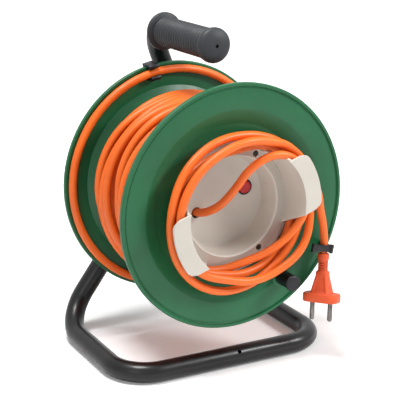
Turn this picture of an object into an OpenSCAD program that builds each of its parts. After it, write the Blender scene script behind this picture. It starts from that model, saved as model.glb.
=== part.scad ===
// Extension cord reel: a plastic drum on a bent-tube stand, with a cleated bowl for the plug lead.
// Millimetres. +Z is up, the bowl faces -Y, and the stand rests on Z = 0.
// The origin is at the middle of the stand's floor area.

/* [Stand] */
// Outer diameter of the frame tube
tube_d = 20; // [18:0.5:22]
// Wall of the frame tube
tube_wall = 1.5; // [1:0.1:2.5]
// Width of the stand over the side bars
base_w = 241.8; // [232:0.2:256]
// From the middle of the drum to the front bar's axis
base_front = 60; // [58:0.5:66]
// From the middle of the drum to the legs' plane
base_back = 93; // [90:0.5:100]
// Bend radius of the two front corners
front_bend_r = 37; // [28:1:45]
// Bend radius where the side bars turn up into the legs
rear_bend_r = 40; // [30:1:44]
// Bend radius at the top, where the leg turns into the handle
elbow_r = 29; // [24:1:34]
// Height of the axle
axle_h = 165; // [162:1:180]
// Diameter of the drain hole in the front bar
drain_d = 4; // [2:0.5:6]
// Sideways place of the drain hole
drain_x = 8; // [-40:1:40]

/* [Handle] */
// Sideways place of the handle's axis
handle_x = -11.5; // [-20:0.5:0]
// Height of the handle's axis
handle_h = 316; // [308:1:335]
// Length of the grip, cap and collar included
grip_len = 109; // [90:1:112]
// From the legs' plane forward to the grip's collar
grip_gap = 29.5; // [29:0.5:36]
// Diameter over the grip's ribs
grip_d = 29.5; // [27:0.5:32]
// Depth of the grooves between the ribs
grip_groove = 1.4; // [0.8:0.1:2]
// Number of ribs on the grip
grip_ribs = 18; // [12:1:22]
// Diameter of the grip's domed front cap
grip_cap_d = 33.5; // [31:0.5:37]
// Diameter of the grip's rear collar
grip_collar_d = 38; // [35:0.5:42]
// Thickness of the rear collar
grip_collar_t = 4.5; // [3:0.5:6]
// Diameter of the air hole in the cap
grip_hole_d = 3.5; // [2:0.5:5]

/* [Axle] */
// Diameter of the axle
axle_d = 12; // [10:0.5:13]
// How far the axle reaches forward of the drum's middle
axle_front = 20; // [19:0.5:24]
// Outer diameter of the washers
washer_d = 24; // [22:0.5:28]
// Thickness of the washers
washer_t = 1.5; // [1:0.1:2.5]
// Outer diameter of the spacer between leg and drum
spacer_d = 19; // [17:0.5:21]
// Width across the flats of the axle nut
nut_af = 18; // [17:0.5:21]
// Height of the axle nut
nut_h = 8; // [6:0.5:10]
// Length of the bush in each hub
bush_len = 12; // [9:0.5:13]
// Wall of the hub bushes
bush_wall = 3; // [2:0.1:3.5]

/* [Drum] */
// Diameter of the two flanges
flange_d = 240; // [234:1:244]
// Width of the drum over the two rims
drum_w = 135.6; // [134:0.2:140]
// Wall of the moulded flanges
flange_t = 2.4; // [1.8:0.1:3]
// Radial width of the rim's bead
rim_w = 3.6; // [2.5:0.1:5]
// How far the bead stands proud of the flange's face
rim_step = 1.4; // [0.8:0.1:2]
// Diameter where the flange's face starts to slope inward
dish_outer_d = 190; // [184:1:200]
// Diameter of the flat middle of the flange
dish_inner_d = 160; // [156:1:168]
// Depth of the dished middle
dish_depth = 7.4; // [6:0.2:9]
// Outer diameter of the barrel that the cord winds on
barrel_d = 120; // [116:1:130]
// Wall of the barrel
barrel_wall = 2.5; // [2:0.1:3.5]

/* [Bowl] */
// Gap between the bowl's side and the inside of the barrel, where the fixing bosses stand
bowl_gap = 5.8; // [5:0.1:7]
// Depth of the bowl
bowl_depth = 24; // [20:0.5:27]
// Wall of the bowl
bowl_wall = 2.2; // [1.6:0.1:2.6]
// Narrowing of the bowl's side from mouth to floor, on the radius
bowl_draft = 4; // [2:0.5:6]
// How far the bowl's fixing ring reaches past the barrel
ring_over = 6; // [4:0.5:8]
// Thickness of the fixing ring
ring_t = 2; // [1.6:0.1:3]
// Turn of the bowl and its cleats about the axle
bowl_turn = 20; // [20:1:20]

/* [Cleats] */
// Height of the cleats above the ring
cleat_h = 32; // [31:0.5:38]
// From the edge of the fixing ring in to the foot of the cleats' walls
cleat_inset = 8; // [7:0.5:9]
// How far the walls lean outward from foot to lip
cleat_draft = 4.4; // [2:0.2:6]
// Wall of the cleats
cleat_wall = 2.2; // [1.8:0.1:2.6]
// Width of the cleats between the ends of their lips
cleat_w = 58.4; // [50:0.2:60]
// Radial width of the lips
lip_w = 17.7; // [16:0.1:19]
// Thickness of the lips
lip_t = 2.4; // [1.8:0.1:3]
// Lean of the walls' side edges
cleat_lean = 19; // [10:1:22]
// Corner radius of the lips
lip_corner = 6.5; // [3:0.5:8]

/* [Reset button] */
// Diameter of the red button
button_d = 9; // [7:0.5:10]
// Travel of the button
button_travel = 3; // [2:0.5:3.5]
// Diameter of the recess round the button
recess_d = 16; // [15:0.5:18]
// From the bowl's middle to the button
button_r = 29; // [27:0.5:30]

/* [Winding knob] */
// Diameter of the knob
knob_d = 16; // [15:0.5:18]
// Height of the knob
knob_h = 22; // [18:0.5:26]
// From the edge of the flange in to the knob's pin
knob_in = 25; // [24:0.5:27]
// Angle of the knob about the axle
knob_angle = -55; // [-58:1:-53]
// Diameter of the knob's steel pin
knob_pin_d = 5; // [4:0.5:6]

/* [Cord] */
// Diameter of the cord
cord_d = 8; // [7:0.1:8]
// Pitch of the outer layer on the drum
wind_pitch = 8.5; // [8.45:0.05:8.6]
// Radius of the outer layer's axis
wind_r = 91; // [90.5:0.1:91.5]
// Diameter of the hole for the lead in the bowl's floor
lead_hole_d = 11; // [10.4:0.1:12]

/* [Plug] */
// Diameter of the plug's pins
pin_d = 4.8; // [4:0.1:4.8]
// Length of the plug's pins
pin_len = 19; // [17:0.5:19.5]
// Distance between the plug's pins
pin_pitch = 19; // [18:0.1:19]
// Width of the plug's foot
plug_w = 36.5; // [34:0.5:38]
// Depth of the plug's foot
plug_t = 22.5; // [20:0.5:26]

/* [Fits] */
// Radial clearance of the axle in the bushes and of the knob on its pin
running_fit = 0.05; // [0.02:0.01:0.1]
// Radial clearance of parts that sit in a hole without turning
seat_fit = 0.1; // [0.05:0.05:0.3]
// Gap between faces that slide past each other
end_gap = 0.3; // [0.2:0.1:0.5]

/* [Hidden] */
$fn = 64;

// Distances forward of the drum's middle plane
rim_z = drum_w / 2;
face_z = rim_z - rim_step;
plate_z = face_z - dish_depth;
inner_z = plate_z - flange_t;
ring_z = plate_z + ring_t;
barrel_in_r = barrel_d / 2 - barrel_wall;
bowl_r = barrel_in_r - bowl_gap - bowl_wall;
bowl_room_r = bowl_r + bowl_wall + 0.4;
ring_r = barrel_d / 2 + ring_over;
cleat_r = ring_r - cleat_inset + cleat_draft;
floor_z = ring_z - bowl_depth;
lip_z = ring_z + cleat_h;

tube_r = tube_d / 2;
side_x = base_w / 2 - tube_r;
left_lean = atan2(side_x, axle_h - tube_r);
right_lean = atan2(side_x - handle_x, handle_h - tube_r);
nut_face = base_back + tube_r + washer_t;
axle_back = nut_face + nut_h + 1;
bush_r = axle_d / 2 + running_fit + bush_wall;
bush_flange_t = 2;
hub_r = bush_r + 4;
hub_face = rim_z - 2;
hub_front = axle_front - 4.7 - washer_t - 2 * end_gap;

// Corners of the frame tube's axis
legs_meet = (side_x * 2) / (tan(left_lean) + tan(right_lean));
joint_point = [-side_x + legs_meet * tan(left_lean), base_back, tube_r + legs_meet];
left_leg_len = legs_meet / cos(left_lean);
right_leg_len = (handle_h - tube_r) / cos(right_lean);
leg_stop = 18;
grip_back = base_back - grip_gap;
grip_front = grip_back - grip_len;

// Screws
screw_r = 1.9;
screw_head_r = 3.8;
screw_len = 16;
bowl_screw_r = 1.5;
bowl_screw_head_r = 2.8;
bowl_screw_at = bowl_room_r + 2.5;
bowl_screw_angles = [64, -56, 184];
boss_r = 4.6;
boss_len = 22;
flange_screw_at = barrel_in_r - boss_r + 1.1;
flange_screw_angles = [30, 150, 270];

// Knob
knob_r = flange_d / 2 - knob_in;
knob_boss_d = knob_d + 6;
knob_seat = face_z + 1;
pin_head_r = knob_pin_d / 2 + 1.3;
pin_head_t = 2;
pin_front = knob_seat + knob_h - 5;

// Cutout behind the bowl's floor
cutout_w = 22;
cutout_back = floor_z - bowl_wall - 22;
recess_depth = 3.5;
button_flange_r = button_d / 2 + 1.3;
button_flange_t = 2;
button_bore = 12;
button_lip = 2;

// Gland behind the bowl's floor
gland_d = 15;
gland_plate = [22, 12, 3];
gland_grip = 3;

// Clip on the front flange, its middle and its turn
lead_clip_r = flange_d / 2 - 18.6;
lead_clip_angle = -28.4;
lead_clip_turn = -11.4;
lead_clip_len = 25;
lead_clip_w = 8.7;
lead_clip_ends = [5, 3.7];
lead_clip_front = 86.5;
lead_clip_plate = 8.5;
lead_clip_foot_w = 5.6;
lead_clip_at = polar(lead_clip_r, lead_clip_angle);

// The plug hangs under the clip: the top of its strain relief, its lean and its turn
plug_top = [lead_clip_at[0] + 5.5, lead_clip_at[1] - 7.1, 79.5];
plug_lean = 9.3;
plug_aside = 6.6;
plug_turn = -59;
plug_up = [cos(plug_lean) * sin(plug_aside), cos(plug_lean) * cos(plug_aside), -sin(plug_lean)];
relief_len = 18.5;
plug_body_len = 21.5;
plug_foot_t = 8.5;
plug_foot_z = relief_len + plug_body_len + plug_foot_t;
plug_corner = 8;
plug_front = plug_top[2] + sin(plug_lean) * plug_foot_z
    + cos(plug_lean) * ((plug_w / 2 - plug_corner) * abs(sin(plug_turn))
    + (plug_t / 2 - plug_corner) * abs(cos(plug_turn)) + plug_corner);
pin_root_r = pin_d / 2 - 0.5;
pin_root_len = 6;

// The origin stands under the middle of the reel without its lead
mid_y = (axle_back - lip_z) / 2;

// Long cord: it ends at the rim and in the socket
rim_cord_r = flange_d / 2 - 7;
rim_cord_z = -(face_z - flange_t - cord_d / 2 - 0.1);
core_r = wind_r - cord_d / 2 - 1;
wind_start_z = 51;
wind_start_angle = -30;
// Whole turns that fit between the flanges, and the part of a turn up to where the climb begins
wind_turns = floor((wind_start_z + inner_z - 2 * cord_d) / wind_pitch) + 0.583;
wind_end_angle = wind_start_angle + wind_turns * 360;
wind_skew = 2;
wind_end_z = wound_z(wind_end_angle);
climb_sweep = 160;
rim_sweep = 270;
cross_sweep = 88.6;
ring_step = 15;
pocket_r = 76;

// Socket at the end of the long cord, on the winding's right side
socket_in = wind_r + cord_d / 2 + 0.3;
socket_t = 24;
socket_w = 36;
socket_len = 52;
socket_y = -24;
socket_relief = 10;
socket_x = socket_in + socket_t / 2;
socket_z = 10;
contact_r = pin_d / 2 + 0.9;
contact_len = 17;

// Clip on the rear rim
rim_clip_angle = 102.5;
rim_clip_w = 10;

// Route of the plug lead, forward of the drum's middle plane:
// out of the gland, across the bowl and up to the right cleat
lead_hole = [-26, -9.5];
lead_start_points = [
    [-26, -9.5, 26], [-26, -9.5, 34], [-25.8, -8.8, 41], [-23, -6.2, 49], [-18, -1, 57.5],
    [-12, 7, 64.5], [-7, 16, 70], [-1, 27, 75], [5, 37, 79], [12, 45, 82], [21, 50, 84],
    [30, 53, 85.2], [39.2, 53, 84.9]
];
// down from the right cleat to the plug
lead_tail_points = [
    [82.5, 13.5, 79], [86.5, 2.5, 79], [88.5, -8.5, 78.8], [90, -14.7, 78.8], [91.6, -21, 79],
    [93.7, -33.7, 79.4], [94.7, -42, 79.5], [94.7, -49, 79.5]
];
// The coil turns clockwise from the upper end of the right cleat. Each turn holds on to the right
// cleat, dips below the bowl, holds on to the left cleat and dips above the bowl.
coil_start = 47;
coil_stations = [0, 30, 55, 80, 104, 128, 152, 180, 234, 262, 290, 318, 340];
coil_r = [
    [68.6, 72, 69, 62, 57, 56, 62, 69, 67.5, 63, 57, 56.5, 63.3],
    [66.8, 66, 66, 68.5, 69.3, 66, 64.2, 68.5, 68.3, 63, 61, 64.5, 66.5],
    [67, 68.5, 71, 72.5, 73, 77, 80, 80.2, 76, 75.3, 72.3, 70.3, 72.4],
    [75.4, 77.3, 80, 80.3, 75, 70.5, 66.5, 70, 69.3, 67, 65.8, 68, 70.5],
    [75.8, 79.8]
];
coil_z = [
    [84.6, 83.1, 81.3, 77, 72.5, 67.8, 65.5, 65.3, 65.4, 65.6, 65.8, 65.8, 65.4],
    [65.3, 65.2, 65.3, 65.2, 66.3, 70.8, 74, 74, 76.5, 77.5, 77, 75.5, 73.7],
    [73.9, 73.9, 72.6, 73.2, 74.2, 75.2, 76.4, 77.5, 80.5, 78, 73, 68.5, 67],
    [66.8, 69, 75.5, 82.3, 83.2, 83.4, 83, 82.6, 86, 85.5, 85.5, 85.1, 81.7],
    [78.5, 78.7]
];
coil_sweep = 4 * 360 + 30;

// ---- helpers ----

function unit(v) = v / norm(v);
function polar(r, a) = [r * cos(a), r * sin(a)];
function ease(t) = t <= 0 ? 0 : t >= 1 ? 1 : t * t * (3 - 2 * t);

// A smooth curve through values at given places
function slope(p, v, i) =
    i == 0 || i == len(p) - 1 ? 0 : (v[i + 1] - v[i - 1]) / (p[i + 1] - p[i - 1]);
function hermite(p, v, x, i) =
    let (w = p[i + 1] - p[i], t = (x - p[i]) / w)
    v[i] * (1 + 2 * t) * (1 - t) * (1 - t) + v[i + 1] * t * t * (3 - 2 * t)
    + w * slope(p, v, i) * t * (1 - t) * (1 - t)
    - w * slope(p, v, i + 1) * t * t * (1 - t);
function seat_of(p, x) = max([for (i = [0:len(p) - 2]) if (p[i] <= x) i]);

// Frames along a path, each turned as little as possible from the last
function tangents(p) = [
    for (i = [0:len(p) - 1]) unit(p[min(i + 1, len(p) - 1)] - p[max(i - 1, 0)])
];
function across(t) = abs(t[2]) < 0.9 ? unit(cross(t, [0, 0, 1])) : unit(cross(t, [1, 0, 0]));
function sides_of(t) = [
    for (i = 0, u = across(t[0]);
         i < len(t);
         i = i + 1, u = i < len(t) ? unit(u - (u * t[i]) * t[i]) : u)
    u
];

// A round tube swept along points, with flat ends
module swept_tube(path, d, sides) {
    t = tangents(path);
    u = sides_of(t);
    n = len(path);
    ring = [
        for (i = [0:n - 1]) for (k = [0:sides - 1])
            let (a = 360 * k / sides)
            path[i] + d / 2 * (cos(a) * u[i] + sin(a) * cross(t[i], u[i]))
    ];
    wall = [
        for (i = [0:n - 2]) for (k = [0:sides - 1])
            let (a = i * sides + k, b = i * sides + (k + 1) % sides)
            each [[a, a + sides, b], [b, a + sides, b + sides]]
    ];
    first = [for (k = [1:sides - 2]) [0, k, k + 1]];
    last = [for (k = [1:sides - 2]) [(n - 1) * sides, (n - 1) * sides + k + 1, (n - 1) * sides + k]];
    polyhedron(ring, concat(first, wall, last), convexity = 12);
}

// Least gap of a wound tube to itself, measured between its axis's points a half turn or more apart
function least_gap(path, d, apart) =
    min([
        for (i = [0:len(path) - 1 - apart])
            for (j = [i + apart:len(path) - 1]) norm(path[i] - path[j])
    ]) - d;

// Puts a part into the reel's own frame
module in_frame() {
    translate([0, -mid_y, 0]) children();
}
// The drum's own frame: its axis is local Z, which points to the front
module on_axle() {
    in_frame() translate([0, 0, axle_h]) rotate([90, 0, 0]) children();
}
module spin(angle, r) {
    rotate([0, 0, angle]) translate([r, 0, 0]) children();
}
// A disc or ring between two heights
module ring(r_out, r_in, low, high) {
    difference() {
        translate([0, 0, low]) cylinder(h = high - low, r = r_out);
        if (r_in > 0) translate([0, 0, low - 1]) cylinder(h = high - low + 2, r = r_in);
    }
}

// ---- stand ----

// Quarter bend, from local Z round into local X
module quarter(r, d, seam) {
    translate([r, 0, 0]) multmatrix([[-1, 0, 0, 0], [0, 0, 1, 0], [0, 1, 0, 0], [0, 0, 0, 1]])
        rotate_extrude(angle = 90) translate([r, 0]) rotate(180 - seam) circle(d = d);
}
// Straight and bend in turn. Each step is a length, then the roll before a bend and its radius
module run(steps, d, i = 0, seam = 0) {
    rotate([0, 0, seam]) cylinder(h = steps[i][0], d = d);
    if (i < len(steps) - 1) translate([0, 0, steps[i][0]]) rotate([0, 0, steps[i][1]]) {
        next = seam - steps[i][1];
        quarter(steps[i][2], d, next);
        translate([steps[i][2], 0, steps[i][2]]) rotate([0, 90, 0]) run(steps, d, i + 1, next);
    }
}
// The bent tube from near the top of the left leg round the base to the handle, as a solid bar
module bent_bar(d, late) {
    steps = [
        [left_leg_len - leg_stop - late - rear_bend_r, 0, rear_bend_r],
        [base_back + base_front - rear_bend_r - front_bend_r, left_lean - 90, front_bend_r],
        [2 * side_x - 2 * front_bend_r, 0, front_bend_r],
        [base_back + base_front - rear_bend_r - front_bend_r, 90 - right_lean, rear_bend_r],
        [right_leg_len - rear_bend_r - elbow_r, 0, elbow_r],
        [base_back - elbow_r - grip_front - 12]
    ];
    translate(joint_point) rotate([0, 180 + left_lean, 0]) rotate([0, 0, -90])
        translate([0, 0, leg_stop + late]) run(steps, d);
}

module frame_tube() {
    bore = tube_d - 2 * tube_wall;
    color("#2b2b2d") in_frame() difference() {
        union() {
            bent_bar(tube_d, 0);
            translate(joint_point) rotate([0, 180 + left_lean, 0]) translate([0, 0, 2])
                cylinder(h = leg_stop - 1, d = tube_d - 1);
        }
        bent_bar(bore, 2);
        translate([0, base_back - tube_d, axle_h]) rotate([-90, 0, 0])
            cylinder(h = 2 * tube_d, r = axle_d / 2 + seat_fit);
        translate([drain_x, -base_front, tube_r]) rotate([50, 0, 0]) cylinder(h = tube_d, d = drain_d);
    }
}

// Closed at the front by a dome, ribbed, and with a collar at the back
module handle_grip() {
    body_r = grip_d / 2;
    cap_r = grip_cap_d / 2;
    cap_t = 13;
    pitch = (grip_len - cap_t - grip_collar_t - 2) / grip_ribs;
    first = cap_t + 1;
    ribs = [
        for (i = [0:grip_ribs - 1])
            let (z = first + i * pitch)
            each [
                [body_r - grip_groove, z], [body_r - grip_groove, z + 0.22 * pitch],
                [body_r, z + 0.42 * pitch], [body_r, z + 0.78 * pitch]
            ]
    ];
    dome = [for (a = [0:15:90]) [grip_hole_d / 2 + (cap_r - grip_hole_d / 2) * sin(a), 6 * (1 - cos(a))]];
    back = grip_len - grip_collar_t;
    color("#3c3e41") in_frame() translate([handle_x, grip_front, handle_h]) rotate([-90, 0, 0])
    difference() {
        rotate_extrude() polygon(concat(
            [[0, 10]], [[0, 3]], [[grip_hole_d / 2, 3]],
            dome,
            [[cap_r, 8], [cap_r - 0.6, 10.5], [body_r - grip_groove, cap_t]],
            ribs,
            [[body_r - grip_groove, back - 1], [grip_collar_d / 2 - 1, back]],
            [[grip_collar_d / 2, back + 1], [grip_collar_d / 2, grip_len - 1]],
            [[grip_collar_d / 2 - 1, grip_len]],
            [[0, grip_len]]
        ));
        translate([0, 0, 12]) cylinder(h = grip_len, r = tube_r + seat_fit);
        translate([0, 0, -1]) cylinder(h = 14, d = grip_hole_d);
    }
}

module axle() {
    groove_z = axle_front - 3.4;
    color("#b9bcc0") on_axle() difference() {
        union() {
            translate([0, 0, -axle_back]) cylinder(h = axle_back + axle_front - 1, d = axle_d);
            translate([0, 0, axle_front - 1]) cylinder(h = 1, d1 = axle_d, d2 = axle_d - 2);
        }
        ring(axle_d, axle_d / 2 - 1, groove_z - 1.3, groove_z);
    }
}

module axle_spacer() {
    color("#9da1a6") on_axle()
        ring(spacer_d / 2, axle_d / 2 + seat_fit, -(base_back - tube_r), -(hub_face + end_gap));
}

module axle_washers() {
    groove_z = axle_front - 3.4;
    washer_front = groove_z - 1.3 - end_gap;
    color("#c3c6ca") on_axle() {
        ring(washer_d / 2, axle_d / 2 + seat_fit, -nut_face, -nut_face + washer_t);
        ring(washer_d / 2, axle_d / 2 + seat_fit, washer_front - washer_t, washer_front);
    }
}

module axle_nut() {
    color("#b4b8bc") on_axle() difference() {
        intersection() {
            translate([0, 0, -nut_face - nut_h]) cylinder(h = nut_h, d = nut_af / cos(30), $fn = 6);
            translate([0, 0, -nut_face - nut_h])
                cylinder(h = nut_h, d1 = nut_af - 1, d2 = nut_af + 2 * nut_h);
        }
        translate([0, 0, -nut_face - nut_h - 1]) cylinder(h = nut_h + 2, r = axle_d / 2 + seat_fit / 2);
    }
}

// Spring clip in the axle's groove
module retaining_ring() {
    groove_z = axle_front - 3.4;
    color("#8a8d90") on_axle() difference() {
        ring(axle_d / 2 + 3.5, axle_d / 2 - 0.9, groove_z - 1.2, groove_z - 0.1);
        translate([0, -axle_d, groove_z - 3]) translate([-axle_d / 2 + 1.5, 0, 0])
            cube([axle_d - 3, axle_d, 5]);
    }
}

// ---- drum ----

// Half section of a flange from a middle opening to the rim, facing the front
module flange_section(open_r) {
    rim_r = flange_d / 2;
    bead_r = rim_r - rim_w;
    dish_out = dish_outer_d / 2;
    dish_in = dish_inner_d / 2;
    back_z = face_z - flange_t;
    polygon([
        [open_r, inner_z], [open_r, plate_z], [dish_in, plate_z], [dish_out, face_z],
        [bead_r, face_z], [bead_r + 0.5, rim_z], [rim_r - 0.8, rim_z], [rim_r, rim_z - 0.8],
        [rim_r, back_z - 0.2], [rim_r - 0.6, back_z - 0.8], [bead_r + 0.6, back_z - 0.8],
        [bead_r, back_z], [dish_out + 0.55, back_z], [dish_in + 0.55, inner_z]
    ]);
}
// What lies behind a flange, to trim the bosses on it
module behind_flange() {
    back_z = face_z - flange_t;
    rotate_extrude() polygon([
        [dish_inner_d / 2 - 30, 0], [dish_inner_d / 2 - 30, inner_z], [dish_inner_d / 2 + 0.55, inner_z],
        [dish_outer_d / 2 + 0.55, back_z], [flange_d, back_z], [flange_d, 0]
    ]);
}

module front_flange() {
    color("#2f7d55") on_axle() difference() {
        union() {
            rotate_extrude($fn = 128) flange_section(bowl_room_r);
            difference() {
                spin(knob_angle, knob_r) {
                    translate([0, 0, inner_z]) cylinder(h = knob_seat - 1 - inner_z, d = knob_boss_d);
                    translate([0, 0, knob_seat - 1])
                        cylinder(h = 1, d1 = knob_boss_d, d2 = knob_boss_d - 2);
                }
                behind_flange();
            }
        }
        for (a = bowl_screw_angles) spin(a, bowl_screw_at)
            translate([0, 0, inner_z - 1]) cylinder(h = flange_t + 2, r = bowl_screw_r + 0.4);
        spin(knob_angle, knob_r) translate([0, 0, inner_z - 1])
            cylinder(h = 20, r = knob_pin_d / 2 + seat_fit);
    }
}

module rear_flange() {
    color("#2f7d55") on_axle() mirror([0, 0, 1]) difference() {
        union() {
            rotate_extrude($fn = 128) flange_section(hub_r - 1);
            ring(hub_r, bush_r + seat_fit, hub_face - 2 - bush_len, hub_face - bush_flange_t);
            for (a = [0:60:300]) rotate([0, 0, a]) translate([hub_r - 1, -1, plate_z - 0.5])
                cube([dish_inner_d / 2 - hub_r - 4, 2, 3]);
        }
        for (a = flange_screw_angles) spin(a, flange_screw_at)
            translate([0, 0, inner_z - 1]) cylinder(h = flange_t + 8, r = screw_r + 0.4);
    }
}

module drum_barrel() {
    out_r = barrel_d / 2;
    in_r = barrel_in_r;
    bore_r = bush_r + seat_fit;
    web_t = 3;
    web_back = hub_front - bush_flange_t - bush_len;
    color("#2a6e4b") on_axle() difference() {
        union() {
            rotate_extrude($fn = 128) polygon([
                [in_r, -inner_z], [out_r, -inner_z], [out_r, inner_z], [in_r, inner_z],
                [in_r, web_back + web_t], [hub_r, web_back + web_t], [hub_r, hub_front - bush_flange_t],
                [bore_r, hub_front - bush_flange_t], [bore_r, web_back], [in_r, web_back]
            ]);
            for (a = [0:60:300]) rotate([0, 0, a + 5]) translate([hub_r - 1, -1, web_back - 8])
                cube([in_r - hub_r + 2, 2, 9]);
            for (a = bowl_screw_angles) translate([0, 0, inner_z - boss_len])
                linear_extrude(boss_len) difference() {
                    intersection() {
                        rotate(a) translate([bowl_room_r - 1, -boss_r]) square([in_r, 2 * boss_r]);
                        circle(r = in_r + 1, $fn = 128);
                    }
                    circle(r = bowl_room_r, $fn = 128);
                }
            for (a = flange_screw_angles) spin(180 - a, flange_screw_at)
                translate([0, 0, -inner_z]) cylinder(h = boss_len, r = boss_r);
        }
        for (a = bowl_screw_angles) spin(a, bowl_screw_at)
            translate([0, 0, inner_z - boss_len + 2]) cylinder(h = boss_len, r = bowl_screw_r + seat_fit);
        for (a = flange_screw_angles) spin(180 - a, flange_screw_at)
            translate([0, 0, -inner_z - 2]) cylinder(h = boss_len, r = screw_r + seat_fit);
        rotate([0, 0, 250]) translate([in_r - 3, 0, -30]) rotate([0, 90, 0])
            cylinder(h = 8, d = cord_d + 1.5);
    }
}

// Two flanged bushes, one behind the barrel's web and one in the rear flange
module hub_bushes() {
    bore_r = axle_d / 2 + running_fit;
    color("#e8e4d8") on_axle() {
        ring(bush_r, bore_r, hub_front - bush_flange_t - bush_len, hub_front - bush_flange_t);
        ring(bush_r + 3, bore_r, hub_front - bush_flange_t, hub_front);
        ring(bush_r, bore_r, -hub_face + bush_flange_t, -hub_face + bush_flange_t + bush_len);
        ring(bush_r + 3, bore_r, -hub_face, -hub_face + bush_flange_t);
    }
}

// Pan-head screws from the rear flange into the barrel
module flange_screws() {
    color("#8f9499") on_axle() for (a = flange_screw_angles) spin(180 - a, flange_screw_at) {
        translate([0, 0, -plate_z]) cylinder(h = screw_len, r = screw_r);
        translate([0, 0, -plate_z - 2.2]) cylinder(h = 2.2, r1 = screw_head_r - 0.8, r2 = screw_head_r);
    }
}

// ---- bowl ----

// Flat outline of one cleat's lip: its ends are parallel, and its outer corners are round
module lip_outline() {
    out_r = cleat_r + lip_w;
    half = cleat_w / 2;
    corner_r = out_r - lip_corner;
    corner_x = sqrt(pow(corner_r, 2) - pow(half - lip_corner, 2));
    turn = asin((half - lip_corner) / corner_r);
    difference() {
        union() {
            translate([0, -half]) square([corner_x, 2 * half]);
            intersection() {
                circle(r = out_r, $fn = 128);
                polygon([[0, 0], 2 * out_r * [cos(turn), -sin(turn)], 2 * out_r * [cos(turn), sin(turn)]]);
            }
            for (s = [-1, 1]) translate([corner_x, s * (half - lip_corner)]) circle(r = lip_corner);
        }
        circle(r = cleat_r, $fn = 128);
    }
}
// Cleat: a wall that leans outward, with leaning ends, and a lip
module cleat() {
    half = cleat_w / 2;
    foot_z = ring_z - 1;
    top_z = lip_z - lip_t / 2;
    slope = cleat_draft / cleat_h;
    foot_r = cleat_r - slope * (lip_z - foot_z);
    top_r = cleat_r - slope * (lip_z - top_z);
    foot_half = half + (lip_z - foot_z) * tan(cleat_lean);
    top_half = half + (lip_z - top_z) * tan(cleat_lean);
    intersection() {
        rotate_extrude($fn = 128) polygon([
            [foot_r, foot_z], [foot_r + cleat_wall, foot_z], [top_r + cleat_wall, top_z], [top_r, top_z]
        ]);
        rotate([90, 0, 90]) linear_extrude(2 * cleat_r) polygon([
            [-foot_half, foot_z - 1], [foot_half, foot_z - 1], [foot_half, foot_z],
            [top_half, top_z], [top_half, top_z + 1], [-top_half, top_z + 1], [-top_half, top_z],
            [-foot_half, foot_z]
        ]);
    }
    translate([0, 0, lip_z - lip_t]) linear_extrude(lip_t) lip_outline();
}

module lead_bowl() {
    mouth = bowl_r;
    foot = mouth - bowl_draft;
    edge = ring_r;
    color("#d6cfc0") on_axle() difference() {
        union() {
            rotate_extrude($fn = 128) polygon([
                [0, floor_z - bowl_wall], [0, floor_z], [foot - 1.5, floor_z], [foot, floor_z + 1.5],
                [mouth - 0.6, ring_z - 1.2], [mouth, ring_z], [edge - 0.8, ring_z], [edge, ring_z - 0.8],
                [edge, plate_z], [mouth + bowl_wall, plate_z], [foot + bowl_wall, floor_z - bowl_wall + 1.5],
                [foot + bowl_wall - 1.5, floor_z - bowl_wall]
            ]);
            for (a = [0, 180]) rotate([0, 0, bowl_turn + a]) cleat();
        }
        translate([lead_hole[0], lead_hole[1], floor_z - bowl_wall - 1])
            cylinder(h = bowl_wall + 2, d = lead_hole_d);
        spin(bowl_turn, button_r) translate([0, 0, floor_z - bowl_wall - 1])
            cylinder(h = bowl_wall + 2, d = recess_d + 2 * seat_fit);
        for (a = bowl_screw_angles) spin(a, bowl_screw_at) {
            translate([0, 0, plate_z - 1]) cylinder(h = ring_t + 2, r = bowl_screw_r + 0.4);
            translate([0, 0, ring_z - 1]) cylinder(h = 2, r = bowl_screw_head_r + 0.3);
        }
    }
}

module bowl_screws() {
    color("#6d6f70") on_axle() for (a = bowl_screw_angles) spin(a, bowl_screw_at) {
        translate([0, 0, inner_z - screw_len])
            cylinder(h = ring_z - 1 - inner_z + screw_len, r = bowl_screw_r);
        translate([0, 0, ring_z - 1])
            cylinder(h = 1.2, r1 = bowl_screw_head_r, r2 = bowl_screw_head_r - 0.6);
    }
}

// Clamping gland behind the bowl's floor, which holds the lead's end
module lead_gland() {
    under = floor_z - bowl_wall;
    end_z = lead_start_points[0][2];
    color("#2c2c2e") on_axle() translate([lead_hole[0], lead_hole[1], 0]) difference() {
        union() {
            translate([0, 0, end_z - gland_grip]) cylinder(h = under - end_z + gland_grip, d = gland_d);
            translate([-gland_plate[0] / 2, -gland_plate[1] / 2, under - gland_plate[2]]) cube(gland_plate);
        }
        translate([0, 0, end_z]) cylinder(h = under, d = cord_d + 0.6);
    }
}

// Housing of the thermal cutout, with the recess that shows in the bowl
module cutout_body() {
    under = floor_z - bowl_wall;
    recess_z = floor_z - recess_depth;
    color("#1f1f21") on_axle() spin(bowl_turn, button_r) difference() {
        union() {
            translate([-cutout_w / 2 + 3, -cutout_w / 2, cutout_back])
                cube([cutout_w - 3, cutout_w, under - cutout_back]);
            translate([0, 0, under - 1]) cylinder(h = bowl_wall + 1, d = recess_d);
        }
        translate([0, 0, recess_z]) cylinder(h = recess_depth + 1, d = recess_d - 2.4);
        translate([0, 0, recess_z - button_bore])
            cylinder(h = button_bore + 1, r = button_d / 2 + running_fit);
        translate([0, 0, recess_z - button_bore])
            cylinder(h = button_bore - button_lip, r = button_flange_r + end_gap);
    }
}

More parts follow.
